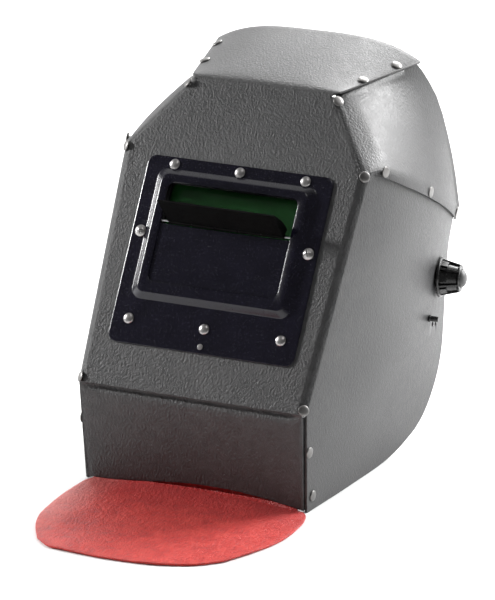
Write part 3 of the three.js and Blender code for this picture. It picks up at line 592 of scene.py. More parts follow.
centre_rows = []
for level in [0, 0.015, 0.05, 0.11, 0.2, 0.3, 0.4, 0.5, 0.6, 0.7, 0.78, 0.85]:
    row = []
    half = chin_half(level * CREASE_Z)
    for x in across(half):
        z = mix(chin_rise(x) + 0.25 * noise.noise((x * 0.11, 3.0, 0.0)), CREASE_Z, level)
        row.append(Vector((x, chin_y(z) + unevenness((x, 0, z)), z)))
    centre_rows.append(row)
GROOVE = [(79.0, 0.15), (82.0, 0.8), (83.8, 2.4), (85.0, 3.4), (86.3, 3.7), (87.3, 2.6), (88.0, 0.12)]
for z, depth in GROOVE:
    half = chin_half(z)
    row = []
    for x in across(half):
        taper = 1 - smooth(0.86, 1.0, abs(x) / half)
        row.append(Vector((x, chin_y(z) + depth * taper + unevenness((x, 0, z)) * 0.3, z)))
    centre_rows.append(row)
front_levels = [1.4, 3.5, 8, 15, 24, 34, 45, 56, 67, 79, HOLE_LOW, 105, 120, 135, 150, 164, HOLE_HIGH,
                188, 196, 202, 205, SHOULDER_H, 209.5, 214, 221, 229, 237, 245, 253, 260, 265, 268.5, BROW_H]
HOLE_ROWS = (front_levels.index(HOLE_LOW), front_levels.index(HOLE_HIGH))
MARGIN = [(-1.6, 0.0), (-0.7, -0.45), (0.1, -1.15), (1.0, -1.45), (2.2, -1.95), (3.6, -3.0), (4.5, -3.85)]
MARGIN_START = 3.2
front_rows = []
for h in front_levels:
    inner_end = flat_half(h) - MARGIN_START
    row = []
    for x in across(inner_end):
        n = brow_set(h) + unevenness((x, 60, h)) * smooth(0, 20, h)
        row.append(on_front(x, h, n))
    margins = [margin_point(h, out, n) for out, n in MARGIN] + [edge_point(h)]
    mirrored_margins = [mirror_x(p) for p in reversed(margins)]
    front_rows.append(mirrored_margins + row + margins)
columns = len(centre_rows[0])
extra = len(MARGIN) + 1
# The soft fold at the brow: two rows on the front's side of it and two on the top panel.
FOLD_END = 0.02
FOLD_KNEE = (141.2, 323.9)
brow_xs = across(flat_half(BROW_H) - MARGIN_START)
fold_xs = across(top_half(FOLD_END) - 0.5)
fold_rows = []
for lift in (0.35, 0.75):
    row = []
    for x, top_x in zip(brow_xs, fold_xs):
        knee = Vector((mix(x, top_x, 0.6), *FOLD_KNEE))
        row.append(on_front(x, BROW_H, brow_set(BROW_H)).lerp(knee, lift))
    fold_rows.append(row)
for s, drop in ((0.004, 0.25), (FOLD_END, 0.0)):
    row = []
    for top_x in fold_xs:
        p = top_point(top_x / top_half(FOLD_END), s, drop)
        row.append(Vector((top_x, p.y, p.z)))
    fold_rows.append(row)
top_rows = []
for s in [0.06, 0.12, 0.2, 0.3, 0.4, 0.5, 0.6, 0.7, 0.8, 0.88, 0.95, 1.0]:
    half = top_half(s)
    row = []
    for x in across(half):
        p = top_point(x / half, s)
        row.append(p + Vector((0, 0, unevenness((x, s * 100, 300), 0.5))))
    top_rows.append(row)

middle_front = [row[extra:-extra] for row in front_rows]
spine = centre_rows + middle_front + fold_rows + top_rows
inner_first = len(OUTER_STEPS) - 1
inner_last = inner_first + len(US) - 1
hole_low = len(centre_rows) + HOLE_ROWS[0]
hole_high = len(centre_rows) + HOLE_ROWS[1]
shell.grid(spine, keep=lambda r, c: not (hole_low <= r < hole_high and inner_first <= c < inner_last))
shell.grid([row[columns + extra - 1:] for row in front_rows])
shell.grid([row[:extra + 1] for row in front_rows])

# Chin flanges, folded back inside the lower sides.
flange_rows = []
for row in centre_rows[:-3]:
    corner = row[-1]
    inset = LAP + 0.9
    deep = [0.0, 0.6, 1.5, 4.0, 9.0, 16.0, 24.0]
    line = []
    for d in deep:
        x = corner.x + 0.5 * smooth(0, 2, d)
        if d:
            target = on_side(max(corner.y + d, 12), corner.z).x - inset
            x = mix(corner.x + 0.35, target, smooth(0, 16, d))
        line.append(Vector((x, corner.y + d, corner.z)))
    flange_rows.append(line)
shell.grid(flange_rows)
shell.grid([[mirror_x(p) for p in line] for line in flange_rows], flip=True)

# Lower sides.
low_edge = [Vector((front_edge_half(z), front_edge_y(z), z)) for z in [0.0, 3, 9, 18, 29, 41, 54, 66, 76, 83]]
shoulder_row = front_levels.index(SHOULDER_H)
high_edge = [edge_point(h) for h in front_levels[:shoulder_row + 1]]
side_front = low_edge + high_edge
side_vs = shares([Vector((0, p.y, p.z)) for p in side_front])
SIDE_US = [0, 0.006, 0.016, 0.035, 0.065, 0.1]
SIDE_US += [mix(0.1, 1, i / 26) for i in range(1, 25)]
SIDE_US += [0.955, 0.98, 0.992, 1]
REAR_LOW = (219.6, 10.6)
bottom_curve = curve_through([(11, 0), (80, 0.2), (150, 0.5), (188, 4), REAR_LOW])
rear_curve = curve_through([REAR_LOW, (240, 20), (258, 36), (270, 52), (278, 70), (282, 94), (284.5, 112),
                            (291, 138),
                            (296.5, 156), (298, 172), (293.2, seam_z(293.2) + 7)])
top_curve = curve_through([(high_edge[-1].y, high_edge[-1].z), (110, seam_z(110) + 1.5),
                           (128, seam_z(128) + 7),
                           (200, seam_z(200) + 7), (293.2, seam_z(293.2) + 7)])


def front_share(v):
    p = polyline_point(side_front, side_vs, v)
    return Vector((p.y, p.z))


flat_side = patch(bottom_curve, top_curve, front_share, rear_curve, SIDE_US, side_vs)
side_rows = []
for edge, row in zip(side_front, flat_side):
    line = [edge]
    for p in row[1:]:
        q = on_side(p.x, p.y)
        q.x += unevenness((200, p.x, p.y), 0.5) * smooth(0, 30, p.x - edge.y)
        line.append(q)
    side_rows.append(line)
shell.grid(side_rows)
shell.grid([[mirror_x(p) for p in line] for line in side_rows], flip=True)

# Upper sides: a lap over the lower side, a soft bend, and a flange under the top panel.
UPPER_US = [0, 0.01, 0.03, 0.06, 0.1] + [mix(0.1, 1, i / 20) for i in range(1, 20)] + [0.985, 1]
upper_levels = front_levels[shoulder_row:]
upper_front = [edge_point(h) for h in upper_levels]
UNDER_TOP = LAP + 0.9
SEAM_END = 301.0


def lap_point(u, lift):
    y = mix(upper_front[0].y, SEAM_END, u)
    z = seam_z(y) + lift * smooth(0, 0.12, u)
    p = on_side(y, z, LAP * smooth(0, 0.14, u) + 0.1)
    start = upper_front[0] if lift == 0 else upper_front[1]
    return start.lerp(p, smooth(0, 0.05, u))


def upper_top(u):
    end = top_point(0.98, mix(0.045, 0.98, u), UNDER_TOP)
    return upper_front[-1].lerp(end, smooth(0, 0.04, u))


upper_rear_curve = curve_through([(SEAM_END, seam_z(SEAM_END) + 12), (297.5, 215), (289.5, 248), (274, 291),
                                  (247, 325)])


def upper_rear(v):
    p = upper_rear_curve(v)
    low, high = lap_point(1, 12), upper_top(1)
    lift = (p.y - low.z) / (high.z - low.z)
    if v <= 0:
        return low
    if v >= 1:
        return high
    return Vector((mix(low.x, high.x, lift) + 8 * lift * (1 - lift), p.x, p.y))


upper_vs = shares(upper_front[1:])


def upper_front_share(v):
    return polyline_point(upper_front[1:], upper_vs, v)


upper_rows = patch(lambda u: lap_point(u, 12), upper_top, upper_front_share, upper_rear, UPPER_US, upper_vs)
lap_row = [lap_point(u, 0) for u in UPPER_US]
lap_row[-1] = lap_row[-1] + Vector((0, -2.5, 1.0))
half_lap = [a.lerp(b, 0.5) for a, b in zip(lap_row, upper_rows[0])]
upper_rows = [lap_row, half_lap] + upper_rows
upper_rows[1][0] = upper_rows[2][0].lerp(lap_row[0], 0.5)
for step in range(14):
    relaxed = [list(row) for row in upper_rows]
    for r in range(2, len(upper_rows) - 2):
        share = 0.5 * (1 - smooth(0.25, 0.6, r / len(upper_rows)))
        for c in range(3, len(UPPER_US) - 1):
            average = (upper_rows[r - 1][c] + upper_rows[r + 1][c]) / 2
            relaxed[r][c] = upper_rows[r][c].lerp(average, share)
    upper_rows = relaxed
top_flange = []
for u in UPPER_US:
    s = mix(0.045, 0.98, u)
    inner = top_point(1 - 12 / top_half(s), s, UNDER_TOP)
    top_flange.append(inner if u > 0.02 else upper_front[-1].lerp(inner, 0.25))
upper_rows.append([a.lerp(b, 0.12) for a, b in zip(upper_rows[-1], top_flange)])
upper_rows.append(top_flange)
shell.grid(upper_rows)
shell.grid([[mirror_x(p) for p in line] for line in upper_rows], flip=True)

fibre_shell = make_piece("fibre_shell", [place(p) for p in shell.points], shell.faces, fibre, "shell",
                         ["front_panel", "chin_panel", "top_panel", "upper_side_left", "upper_side_right",
                          "lower_side_left", "lower_side_right"])
modifier(fibre_shell, "SOLIDIFY", thickness=SHEET * MM, offset=-1.0, use_even_offset=False,
         use_quality_normals=True)
modifier(fibre_shell, "BEVEL", width=0.35 * MM, segments=2, limit_method="ANGLE",
         angle_limit=math.radians(62))
apply_modifiers(fibre_shell)


def cut_holes(piece, sites, radius, depth):
    vertices, faces = [], []
    for point, direction in sites:
        ring, ring_faces = lathe([(0, -depth), (radius, -depth), (radius, depth), (0, depth)], 20)
        offset = len(vertices)
        vertices += placed(ring, along(point, direction))
        faces += [[offset + i for i in face] for face in ring_faces]
    mesh = bpy.data.meshes.new("cutter")
    mesh.from_pydata([tuple(v) for v in vertices], [], faces)
    cutter = bpy.data.objects.new("cutter", mesh)
    bpy.context.scene.collection.objects.link(cutter)
    modifier(piece, "BOOLEAN", operation="DIFFERENCE", object=cutter, solver="EXACT")
    apply_modifiers(piece)
    bpy.data.objects.remove(cutter)


# The spare stop holes beside each peg.
hole_sites = []
for dy, dz in PEG_HOLES[1:]:
    point = on_side(PIVOT_Y + dy, PIVOT_Z + dz)
    normal = side_normal(PIVOT_Y + dy, PIVOT_Z + dz)
    hole_sites += [(point, normal), (mirror_x(point), mirror_x(normal))]
cut_holes(fibre_shell, hole_sites, 2.3, 6)


# ---- rivets and screws ----
def rivet_profile(head, dome, depth):
    """A pressed rivet: a shallow flattened dome with a rolled rim, a shank and a clinched tail."""
    tail = 0.70 * head
    profile = [(0, -depth - 1.2), (tail * 0.8, -depth - 1.1), (tail, -depth - 0.5), (tail * 0.95, -depth)]
    profile += [(2.0, -depth), (2.0, 0.15), (head * 0.92, 0.0), (head, 0.22), (head * 1.0, 0.5),
                (head * 0.955, 0.78)]
    for t in (0.86, 0.74, 0.6, 0.44, 0.26):
        profile.append((head * t, 0.78 + (dome - 0.78) * (1 - t ** 2.4)))
    profile.append((0, dome))
    return profile


RIVET_HEAD = 4.7


def rivet(node, point, normal, depth, head=RIVET_HEAD, dome=2.0, material=nickel):
    vertices, faces = lathe(rivet_profile(head, dome, depth), 36)
    turned = placed(vertices, along(point, normal))
    return make_piece("rivet_" + node, turned, faces, material, "shell", [node])


def rivet_pairs(prefix, sites, depth, dome=1.6):
    number = 1
    for point, normal in sites:
        rivet(f"{prefix}{number}", point, normal, depth, RIVET_HEAD, dome, dull_nickel)
        rivet(f"{prefix}{number + 1}", mirror_x(point), mirror_x(normal), depth, RIVET_HEAD, dome,
              dull_nickel)
        number += 2


def front_direction(x, h, n):
    return Vector((x, SIN * h - COS * n, COS * h + SIN * n)).normalized()


corner_sites = []
for x, h, rise, n in [(103.2, 4.4, 0, -2.0), (110.6, 205.6, 0, -2.0), (69.6, 267.3, 0.55, -7.2)]:
    normal = front_direction(4.5, rise * 5, 5)
    corner_sites.append((on_front(x, h, n) + normal * 0.7, normal))
rivet_pairs("corner_rivet_", corner_sites, 4)
top_sites = []
for s, u in [(0.33, 0.955), (0.76, 0.945)]:
    side_step = top_point(u + 0.02, s) - top_point(u - 0.02, s)
    back_step = top_point(u, s + 0.02) - top_point(u, s - 0.02)
    normal = side_step.cross(back_step).normalized()
    top_sites.append((top_point(u, s) + normal * 0.3, normal))
rivet_pairs("top_rivet_", top_sites, 6.5)
seam_sites = []
for y in (123.5, 198.3, 288):
    z = seam_z(y) + 5.3
    normal = side_normal(y, z)
    seam_sites.append((on_side(y, z, LAP) + normal * 0.1, normal))
rivet_pairs("seam_rivet_", seam_sites, 6.2, 1.1)
chin_sites = []
for y, z in [(10.5, 53), (19.5, 12.5)]:
    chin_sites.append((on_side(y, z) + side_normal(y, z) * 0.2, side_normal(y, z)))
rivet_pairs("chin_rivet_", chin_sites, 5.6)
OUT = front_direction(0, 0, 1)
BEZEL_TOP = 1.35
bezel_places = [(0, 194.3), (-61, 194.3), (61, 194.3), (0, 58.8), (-70.7, 58.8), (70.7, 58.8)]
for i, (x, h) in enumerate(bezel_places):
    rivet(f"bezel_rivet_{i + 1}", on_front(x, h, BEZEL_TOP), OUT, 4.2, 4.6)
rivet_vertices, rivet_faces = lathe(rivet_profile(2.5, 0.9, 3.4), 28)
make_piece("bezel_small_rivet", placed(rivet_vertices, along(on_front(0, 43.6, BEZEL_TOP), OUT)), rivet_faces,
           nickel, "shell")


def clamp_screw(side, sign):
    """A domed screw with a cross recess, through to the lens retainer."""
    head, dome = 5.1, 3.2
    profile = [(0, -13.2), (3.4, -13.2), (3.4, -11.9), (2.0, -11.9), (2.0, 0.1), (head * 0.9, 0.1),
               (head, 0.5), (head, 1.1)]
    for t in (0.93, 0.8, 0.64, 0.46, 0.26):
        profile.append((head * t, 1.1 + (dome - 1.1) * (1 - t * t)))
    profile.append((0, dome))
    vertices, faces = lathe(profile, 40)
    turn = along(on_front(sign * 78, 134, BEZEL_TOP), OUT)
    piece = make_piece("screw_" + side, placed(vertices, turn), faces, nickel, "shell",
                       ["clamp_screw_" + side])
    for angle in (0.4, 0.4 + math.pi / 2):
        box_points = [Vector((x, y, z)) for z in (dome - 1.5, dome + 1) for x, y in
                      ((-2.7, -0.45), (2.7, -0.45), (2.7, 0.45), (-2.7, 0.45))]
        spin = Matrix.Rotation(angle, 4, "Z")
        mesh = bpy.data.meshes.new("cross")
        mesh.from_pydata([tuple(place(turn @ spin @ p)) for p in box_points], [], BOX_FACES)
        cutter = bpy.data.objects.new("cross", mesh)
        bpy.context.scene.collection.objects.link(cutter)
        modifier(piece, "BOOLEAN", operation="DIFFERENCE", object=cutter, solver="EXACT")
        apply_modifiers(piece)
        bpy.data.objects.remove(cutter)


for side, sign in (("left", 1), ("right", -1)):
    clamp_screw(side, sign)


# ---- bezel ----
def rounded_loop(half, low, high, corner, n, steps=8):
    corner = max(corner, 0.3)
    points = []
    centres = [(half - corner, low + corner), (half - corner, high - corner),
               (corner - half, high - corner), (corner - half, low + corner)]
    for quarter, (x, y) in enumerate(centres):
        for step in range(steps + 1):
            angle = (quarter - 1 + step / steps) * math.pi / 2
            points.append(Vector((x + corner * math.cos(angle), y + corner * math.sin(angle), n)))
    return points


def ring_piece(name, loops, material, node, turn=FRONT_TURN, closed=True, body="shell"):
    count = len(loops[0])
    vertices = [p for loop in loops for p in loop]
    faces = []
    rows = len(loops) if closed else len(loops) - 1
    for r in range(rows):
        for c in range(count):
            a, b = r * count + c, r * count + (c + 1) % count
            d, e = ((r + 1) % len(loops)) * count + c, ((r + 1) % len(loops)) * count + (c + 1) % count
            faces.append([a, b, e, d])
    return make_piece(name, placed(vertices, turn), faces, material, body, [node] if node else ())


def bezel_loops():
    flange = [(86.5, 37.8, 200.5, 8.0)]

    def inset(base, d, n):
        half, low, high, corner = base
        return rounded_loop(half - d, low + d, high - d, corner - d, n)
    outer, base, crest = flange[0], (72.8, 77.6, 189.4, 8.0), (68.4, 81.8, 185.0, 6.5)
    window = (WINDOW_HALF, WINDOW_LOW, WINDOW_HIGH, 6.5)
    back, front, lip = 0.35, 1.35, 5.85
    return [
        inset(outer, 0.15, back), inset(outer, 0, back + 0.3), inset(outer, 0, front - 0.3),
        inset(outer, 0.3, front),
        inset(outer, 1.5, front), inset(base, -2.2, front), inset(base, -1.0, front + 0.12),
        inset(base, -0.2, front + 0.6), inset(base, 0.6, front + 1.5), inset(crest, -1.0, lip - 1.3),
        inset(crest, -0.1, lip - 0.45), inset(crest, 0.9, lip - 0.05), inset(crest, 2.0, lip),
        inset(window, -0.7, lip - 0.05), inset(window, -0.15, lip - 0.35), inset(window, 0.0, lip - 0.9),
        inset(window, -0.3, lip - 1.2), inset(crest, 2.4, lip - 1.0), inset(crest, 0.9, lip - 1.4),
        inset(base, 1.4, front + 0.4), inset(base, -0.6, back + 0.1), inset(base, -2.0, back),
    ]


bezel = ring_piece("bezel", bezel_loops(), black_steel, "lens_bezel")
bezel.data.set_sharp_from_angle(angle=math.radians(60))


def plate(name, half, low, high, corner, back, front, material, node, bevel=0.35, turn=FRONT_TURN,
          body="shell"):
    """A flat plate with rounded corners and softened edges."""
    loops = [rounded_loop(half - bevel, low + bevel, high - bevel, corner, back),
             rounded_loop(half, low, high, corner, back + bevel),
             rounded_loop(half, low, high, corner, front - bevel),
             rounded_loop(half - bevel, low + bevel, high - bevel, corner, front)]
    count = len(loops[0])
    vertices = [p for loop in loops for p in loop]
    faces = [list(range(count))[::-1], list(range(3 * count, 4 * count))]
    for r in range(3):
        for c in range(count):
            a, b = r * count + c, r * count + (c + 1) % count
            faces.append([a, b, b + count, a + count])
    piece = make_piece(name, placed(vertices, turn), faces, material, body, [node] if node else ())
    piece.data.set_sharp_from_angle(angle=math.radians(30))
    return piece


# The blanking plate shows in the lower part of the window, just under the bezel's lip.
plate("blanking_plate", 63.8, 87, SHUTTER_H - 2.6, 4, 3.0, 4.3, black_steel, "lens_blank_plate")
plate("filter", 66, 87, 183, 3, -9.95, -6.95, green_glass, "filter_glass")
plate("cover", 66, 87, 183, 3, -6.6, -4.6, clear_glass, "cover_glass")


# ---- shutter ----
def shutter_piece():
    """A moulded plate with two cheeks that stand up from it at its ends and run out to its front edge."""
    turn = FRONT_TURN @ Matrix.Translation((0, SHUTTER_H, SHUTTER_N)) @ Matrix.Rotation(-SHUTTER_TILT, 4, "X")
    vertices, faces = [], []

    def block(outline, x0, x1):
        """A prism along X of a closed outline of (z, y) pairs."""
        start = len(vertices)
        count = len(outline)
        for x in (x0, x1):
            vertices.extend(Vector((x, y, z)) for z, y in outline)
        faces.append([start + i for i in range(count)])
        faces.append([start + count + i for i in reversed(range(count))])
        for i in range(count):
            j = (i + 1) % count
            faces.append([start + i, start + count + i, start + count + j, start + j])
    length, thick = SHUTTER_LENGTH, 0.75
    tip = [(length - 0.6, thick), (length - 0.1, thick * 0.5), (length, 0), (length - 0.1, -thick * 0.5),
           (length - 0.6, -thick)]
    block([(0.6, -thick), (0.6, thick)] + tip, -SHUTTER_HALF + 0.4, SHUTTER_HALF - 0.4)
    cheek = [(0.4, -thick), (0.2, 6.8), (1.2, 7.6), (3.5, CHEEK)]
    for i in range(1, 11):
        t = i / 10
        cheek.append((mix(3.5, length - 1.2, t), thick + (CHEEK - thick) * (1 - t ** 1.7)))
    cheek += [(length - 0.6, thick), (length - 0.2, 0), (length - 0.6, -thick)]
    block(cheek, -SHUTTER_HALF, -SHUTTER_HALF + 1.5)
    block(cheek, SHUTTER_HALF - 1.5, SHUTTER_HALF)
    tube = [(1.95 * math.sin(a), 1.95 * math.cos(a)) for a in [2 * math.pi * i / 20 for i in range(20)]]
    for i in range(5):
        x = mix(-SHUTTER_HALF, SHUTTER_HALF, (i + 0.06) / 5)
        block(tube, x, x + 2 * SHUTTER_HALF / 5 * 0.97)
    piece = make_piece("shutter", placed(vertices, turn), faces, shutter_black_painted_shade, "visor_flap", ["visor_flap"],
                       smooth_faces=False)
    face_outward(piece)
    return rounded(piece, 0.25)


shutter_piece()


# ---- tension knobs, bolts and stop pegs ----
def fan_piece(name, profile_of, heights, steps, material, turn, body, nodes):
    """A turned piece whose radius changes round it: profile_of(height index, angle) gives each radius."""
    vertices, faces = [], []
    for k, height in enumerate(heights):
        for i in range(steps):
            angle = 2 * math.pi * i / steps
            radius = profile_of(k, angle)
            vertices.append(Vector((radius * math.cos(angle), radius * math.sin(angle), height)))
    for k in range(len(heights) - 1):
        for i in range(steps):
            j = (i + 1) % steps
            faces.append([k * steps + i, k * steps + j, (k + 1) * steps + j, (k + 1) * steps + i])
    faces.append([i for i in reversed(range(steps))])
    faces.append([(len(heights) - 1) * steps + i for i in range(steps)])
    piece = make_piece(name, placed(vertices, turn), faces, material, body, nodes)
    piece.data.set_sharp_from_angle(angle=math.radians(40))
    return piece


KNOB_STAND = 1.4  # clearance between the knob and the shell
KNOB_RIBS = 6
BOLT_HEAD_LEVELS = [-18.4, -17.9, -16.4, -16.1]
BOLT_HEAD_RADII = [6.2, 6.6, 6.6, 6.2]


def hexagon_radius(level, angle):
    return BOLT_HEAD_RADII[level] * math.cos(math.pi / 6) / math.cos((angle % (math.pi / 3)) - math.pi / 6)


def knob_piece(side, sign):
    """A flanged knob: a cone with six fin-like ribs, a step between them and a ring at the tip."""
    point = on_side(PIVOT_Y, PIVOT_Z)
    axis = Vector((math.cos(KNOB_YAW), math.sin(KNOB_YAW), 0))
    if sign < 0:
        point, axis = mirror_x(point), mirror_x(axis)
    turn = along(point + axis * KNOB_STAND, axis)
    flange = [(3.4, 0.0), (16.6, 0.0), (17.3, 0.35), (17.5, 1.0), (17.3, 1.9), (16.9, 2.3), (16.3, 2.45),
              (13.4, 2.5),
              (12.7, 3.0), (10.2, 16.4), (10.4, 16.9), (11.2, 17.2), (11.6, 17.7), (11.6, 18.5), (11.2, 19.0),
              (8.3, 19.0), (7.9, 18.6), (7.9, 16.2), (3.4, 16.2), (3.4, 0.0)]
    vertices, faces = lathe(flange, 64)

    def box(corners):
        start = len(vertices)
        vertices.extend(corners)
        faces.extend([[start + i for i in face] for face in BOX_FACES])

    for i in range(KNOB_RIBS):
        spin = Matrix.Rotation(2 * math.pi * (i + 0.25) / KNOB_RIBS, 3, "Z")
        low, high = [(9.0, 2.2), (15.8, 2.2)], [(9.0, 18.0), (11.9, 18.0)]
        ring = []
        for (inner, z0), (outer, _) in (low, high):
            ring.append([Vector((r, w, z0)) for r, w in ((inner, -0.85), (outer, -0.85), (outer, 0.85),
                                                         (inner, 0.85))])
        box([spin @ p for p in ring[0] + ring[1]])
        middle = Matrix.Rotation(2 * math.pi * (i + 0.75) / KNOB_RIBS, 3, "Z")
        step = []
        for z0, outer, half in ((2.2, 14.6, 4.2), (8.2, 13.3, 3.6)):
            step += [Vector((r, w, z0)) for r, w in ((9.0, -half), (outer, -half), (outer, half),
                                                     (9.0, half))]
        box([middle @ p for p in step])
    piece = make_piece("knob_" + side, placed(vertices, turn), faces, black_plastic, "knob_" + side,
                       ["tension_knob_" + side], smooth_faces=False)
    rounded(piece, 0.22, 2, 30)
    cap = [(0, -0.1), (7.4, -0.1), (7.5, 0.4), (7.5, 2.8)]
    for t in range(1, 10):
        angle = t / 9 * math.pi / 2
        cap.append((7.5 * math.cos(angle) if t < 9 else 0, 2.8 + 4.6 * math.sin(angle)))
    vertices, faces = lathe(cap, 40)
    cap_turn = along(point + axis * (KNOB_STAND + 16.5), axis)
    make_piece("knob_cap_" + side + "_dome", placed(vertices, cap_turn), faces, grey_plastic, "knob_" + side,
               ["knob_cap_" + side])
    bolt_turn = along(point, axis)
    fan_piece("pivot_bolt_" + side + "_head", hexagon_radius, BOLT_HEAD_LEVELS, 48, steel,
              bolt_turn, "shell", ["pivot_bolt_" + side])
    vertices, faces = lathe([(0, BOLT_HEAD_LEVELS[-1]), (3, BOLT_HEAD_LEVELS[-1]), (3, 13.6), (2.5, 14),
                             (0, 14)], 28)
    shank = make_piece("pivot_bolt_" + side + "_shank", placed(vertices, bolt_turn), faces, steel, "shell")
    shank.data.set_sharp_from_angle(angle=math.radians(40))
    vertices, faces = lathe([(4.4, 0.25), (9.5, 0.25), (9.8, 0.5), (9.5, 0.95), (4.4, 0.95), (4.4, 0.25)], 36)
    make_piece("knob_washer_" + side, placed(vertices, bolt_turn), faces, rubber, "shell")


def peg_piece(side, sign):
    """A round stub with a collar, which sets the harness's rest angle."""
    y, z = PIVOT_Y + PEG_HOLES[0][0], PIVOT_Z + PEG_HOLES[0][1]
    point, normal = on_side(y, z), side_normal(y, z)
    if sign < 0:
        point, normal = mirror_x(point), mirror_x(normal)
    turn = along(point, normal)
    profile = [(0, -15.6), (1.9, -15.6), (2.2, -15.2), (2.2, 0.5), (3.1, 0.5), (3.2, 0.8), (3.2, 1.6),
               (3.0, 1.9), (2.45, 2.1),
               (2.3, 7.9), (1.9, 8.7), (0, 8.8)]
    vertices, faces = lathe(profile, 32)
    piece = make_piece("peg_" + side, placed(vertices, turn), faces, black_plastic, "peg_" + side,
                       ["stop_peg_" + side])
    piece.data.set_sharp_from_angle(angle=math.radians(40))


for side, sign in (("left", 1), ("right", -1)):
    knob_piece(side, sign)
    peg_piece(side, sign)


# ---- head harness, in a frame at the pivot line ----
PIVOT_LINE_Y = PIVOT_Y - math.tan(KNOB_YAW) * (side_x(PIVOT_Y, PIVOT_Z) - ARM_X)
HARNESS_TURN = Matrix.Translation((0, PIVOT_LINE_Y, PIVOT_Z)) @ Matrix.Rotation(HARNESS_TILT, 4, "X")
BAND_HALF, BAND_FRONT, BAND_LEG, BAND_HEIGHT, BAND_SHEET = 78.0, 92.0, 62.0, 28.0, 1.6


def strip(route, wide, thickness, edge=0.5):
    """A flat strap swept along a closed or open route of (point, side direction, outward) triples."""
    vertices, faces = [], []
    section = []
    half, deep = wide / 2, thickness / 2
    for w, d in ((-half, -deep + edge), (-half + edge, -deep), (-half * 0.5, -deep), (half * 0.5, -deep),
                 (half - edge, -deep), (half, -deep + edge), (half, deep - edge), (half - edge, deep),
                 (half * 0.5, deep), (-half * 0.5, deep), (-half + edge, deep), (-half, deep - edge)):
        section.append((w, d))
    count = len(section)
    for point, side_way, outward in route:
        vertices += [point + side_way * w + outward * d for w, d in section]
    for r in range(len(route) - 1):
        for c in range(count):
            a, b = r * count + c, r * count + (c + 1) % count
            faces.append([a, a + count, b + count, b])
    faces.append(list(range(count)))
    last = (len(route) - 1) * count
    faces.append([last + i for i in reversed(range(count))])
    return vertices, faces


def plan_route(points, z=0.0):
    """Route triples for a strap standing on edge, from points (x, y) in plan."""
    route = []
    for i, p in enumerate(points):
        before, after = points[max(i - 1, 0)], points[min(i + 1, len(points) - 1)]
        way = Vector((after[0] - before[0], after[1] - before[1], 0)).normalized()
        route.append((Vector((p[0], p[1], z)), Vector((0, 0, 1)), Vector((way.y, -way.x, 0))))
    return route


def strap_piece(name, route, wide, thickness, material, body, nodes, edge=0.5):
    vertices, faces = strip(route, wide, thickness, edge)
    piece = make_piece(name, placed(vertices, HARNESS_TURN), faces, material, body, nodes)
    face_outward(piece)
    piece.data.set_sharp_from_angle(angle=math.radians(50))
    return piece


def bow(half, reach, leg, steps=64):
    points = [(-half, mix(leg, 0, i / 8)) for i in range(8)]
    for i in range(steps + 1):
        angle = math.pi * i / steps
        points.append((-half * math.cos(angle), -reach * math.sin(angle)))
    points += [(half, mix(0, leg, i / 8)) for i in range(1, 9)]
    return points


def punch(piece, sites, radius, depth=6.0):
    cut_holes(piece, [(HARNESS_TURN @ p, (HARNESS_TURN.to_3x3() @ d)) for p, d in sites], radius, depth)


headband = strap_piece("headband_strap", plan_route(bow(BAND_HALF, BAND_FRONT, BAND_LEG)), BAND_HEIGHT,
                       BAND_SHEET,
                       black_plastic, "harness", ["headband"])
leg_holes = [(Vector((sign * BAND_HALF, y, z)), Vector((1, 0, 0))) for sign in (-1, 1) for y in (50, 57)
             for z in (-7, 7)]
punch(headband, leg_holes, 1.6)
REAR_HALF = BAND_HALF - BAND_SHEET - 0.35
rear_points = [(REAR_HALF, 12), (REAR_HALF, 18), (REAR_HALF, 24)]
REAR_STEPS, REAR_START, REAR_REACH = 48, 30, 62
for i in range(REAR_STEPS + 1):
    angle = math.pi * i / REAR_STEPS
    rear_points.append((REAR_HALF * math.cos(angle), REAR_START + REAR_REACH * math.sin(angle)))
rear_points += [(-REAR_HALF, 24), (-REAR_HALF, 18), (-REAR_HALF, 12)]
strap_piece("rear_strap", plan_route(rear_points), BAND_HEIGHT - 6, BAND_SHEET, black_plastic,
            "rear_band", ["rear_band"])
CROWN_HALF = BAND_HALF + BAND_SHEET / 2 + 0.95
CROWN_Y, CROWN_RISE = -12, 100
crown_route = []
crown_angles = [math.pi * i / 56 for i in range(57)]
for z in (-8, -2, 5):
    crown_route.append((Vector((CROWN_HALF, CROWN_Y, z)), Vector((0, 1, 0)), Vector((1, 0, 0))))
for a in crown_angles:
    outward = Vector((math.cos(a) * CROWN_RISE, 0, math.sin(a) * CROWN_HALF)).normalized()
    crown_route.append((Vector((CROWN_HALF * math.cos(a), CROWN_Y,
                                BAND_HEIGHT / 2 + CROWN_RISE * math.sin(a))),
                        Vector((0, 1, 0)), outward))
for z in (5, -2, -8):
    crown_route.append((Vector((-CROWN_HALF, CROWN_Y, z)), Vector((0, 1, 0)), Vector((-1, 0, 0))))
crown = strap_piece("crown_strap_band", crown_route, 20, 1.2, black_plastic, "harness", ["crown_strap"],
                    edge=0.35)
crown_holes = []
for i in range(-7, 8):
    a = math.pi / 2 + i * 0.062
    crown_holes.append((Vector((CROWN_HALF * math.cos(a), CROWN_Y,
                                BAND_HEIGHT / 2 + CROWN_RISE * math.sin(a))),
                        Vector((math.cos(a) * CROWN_RISE, 0, math.sin(a) * CROWN_HALF)).normalized()))
punch(crown, crown_holes, 1.7)


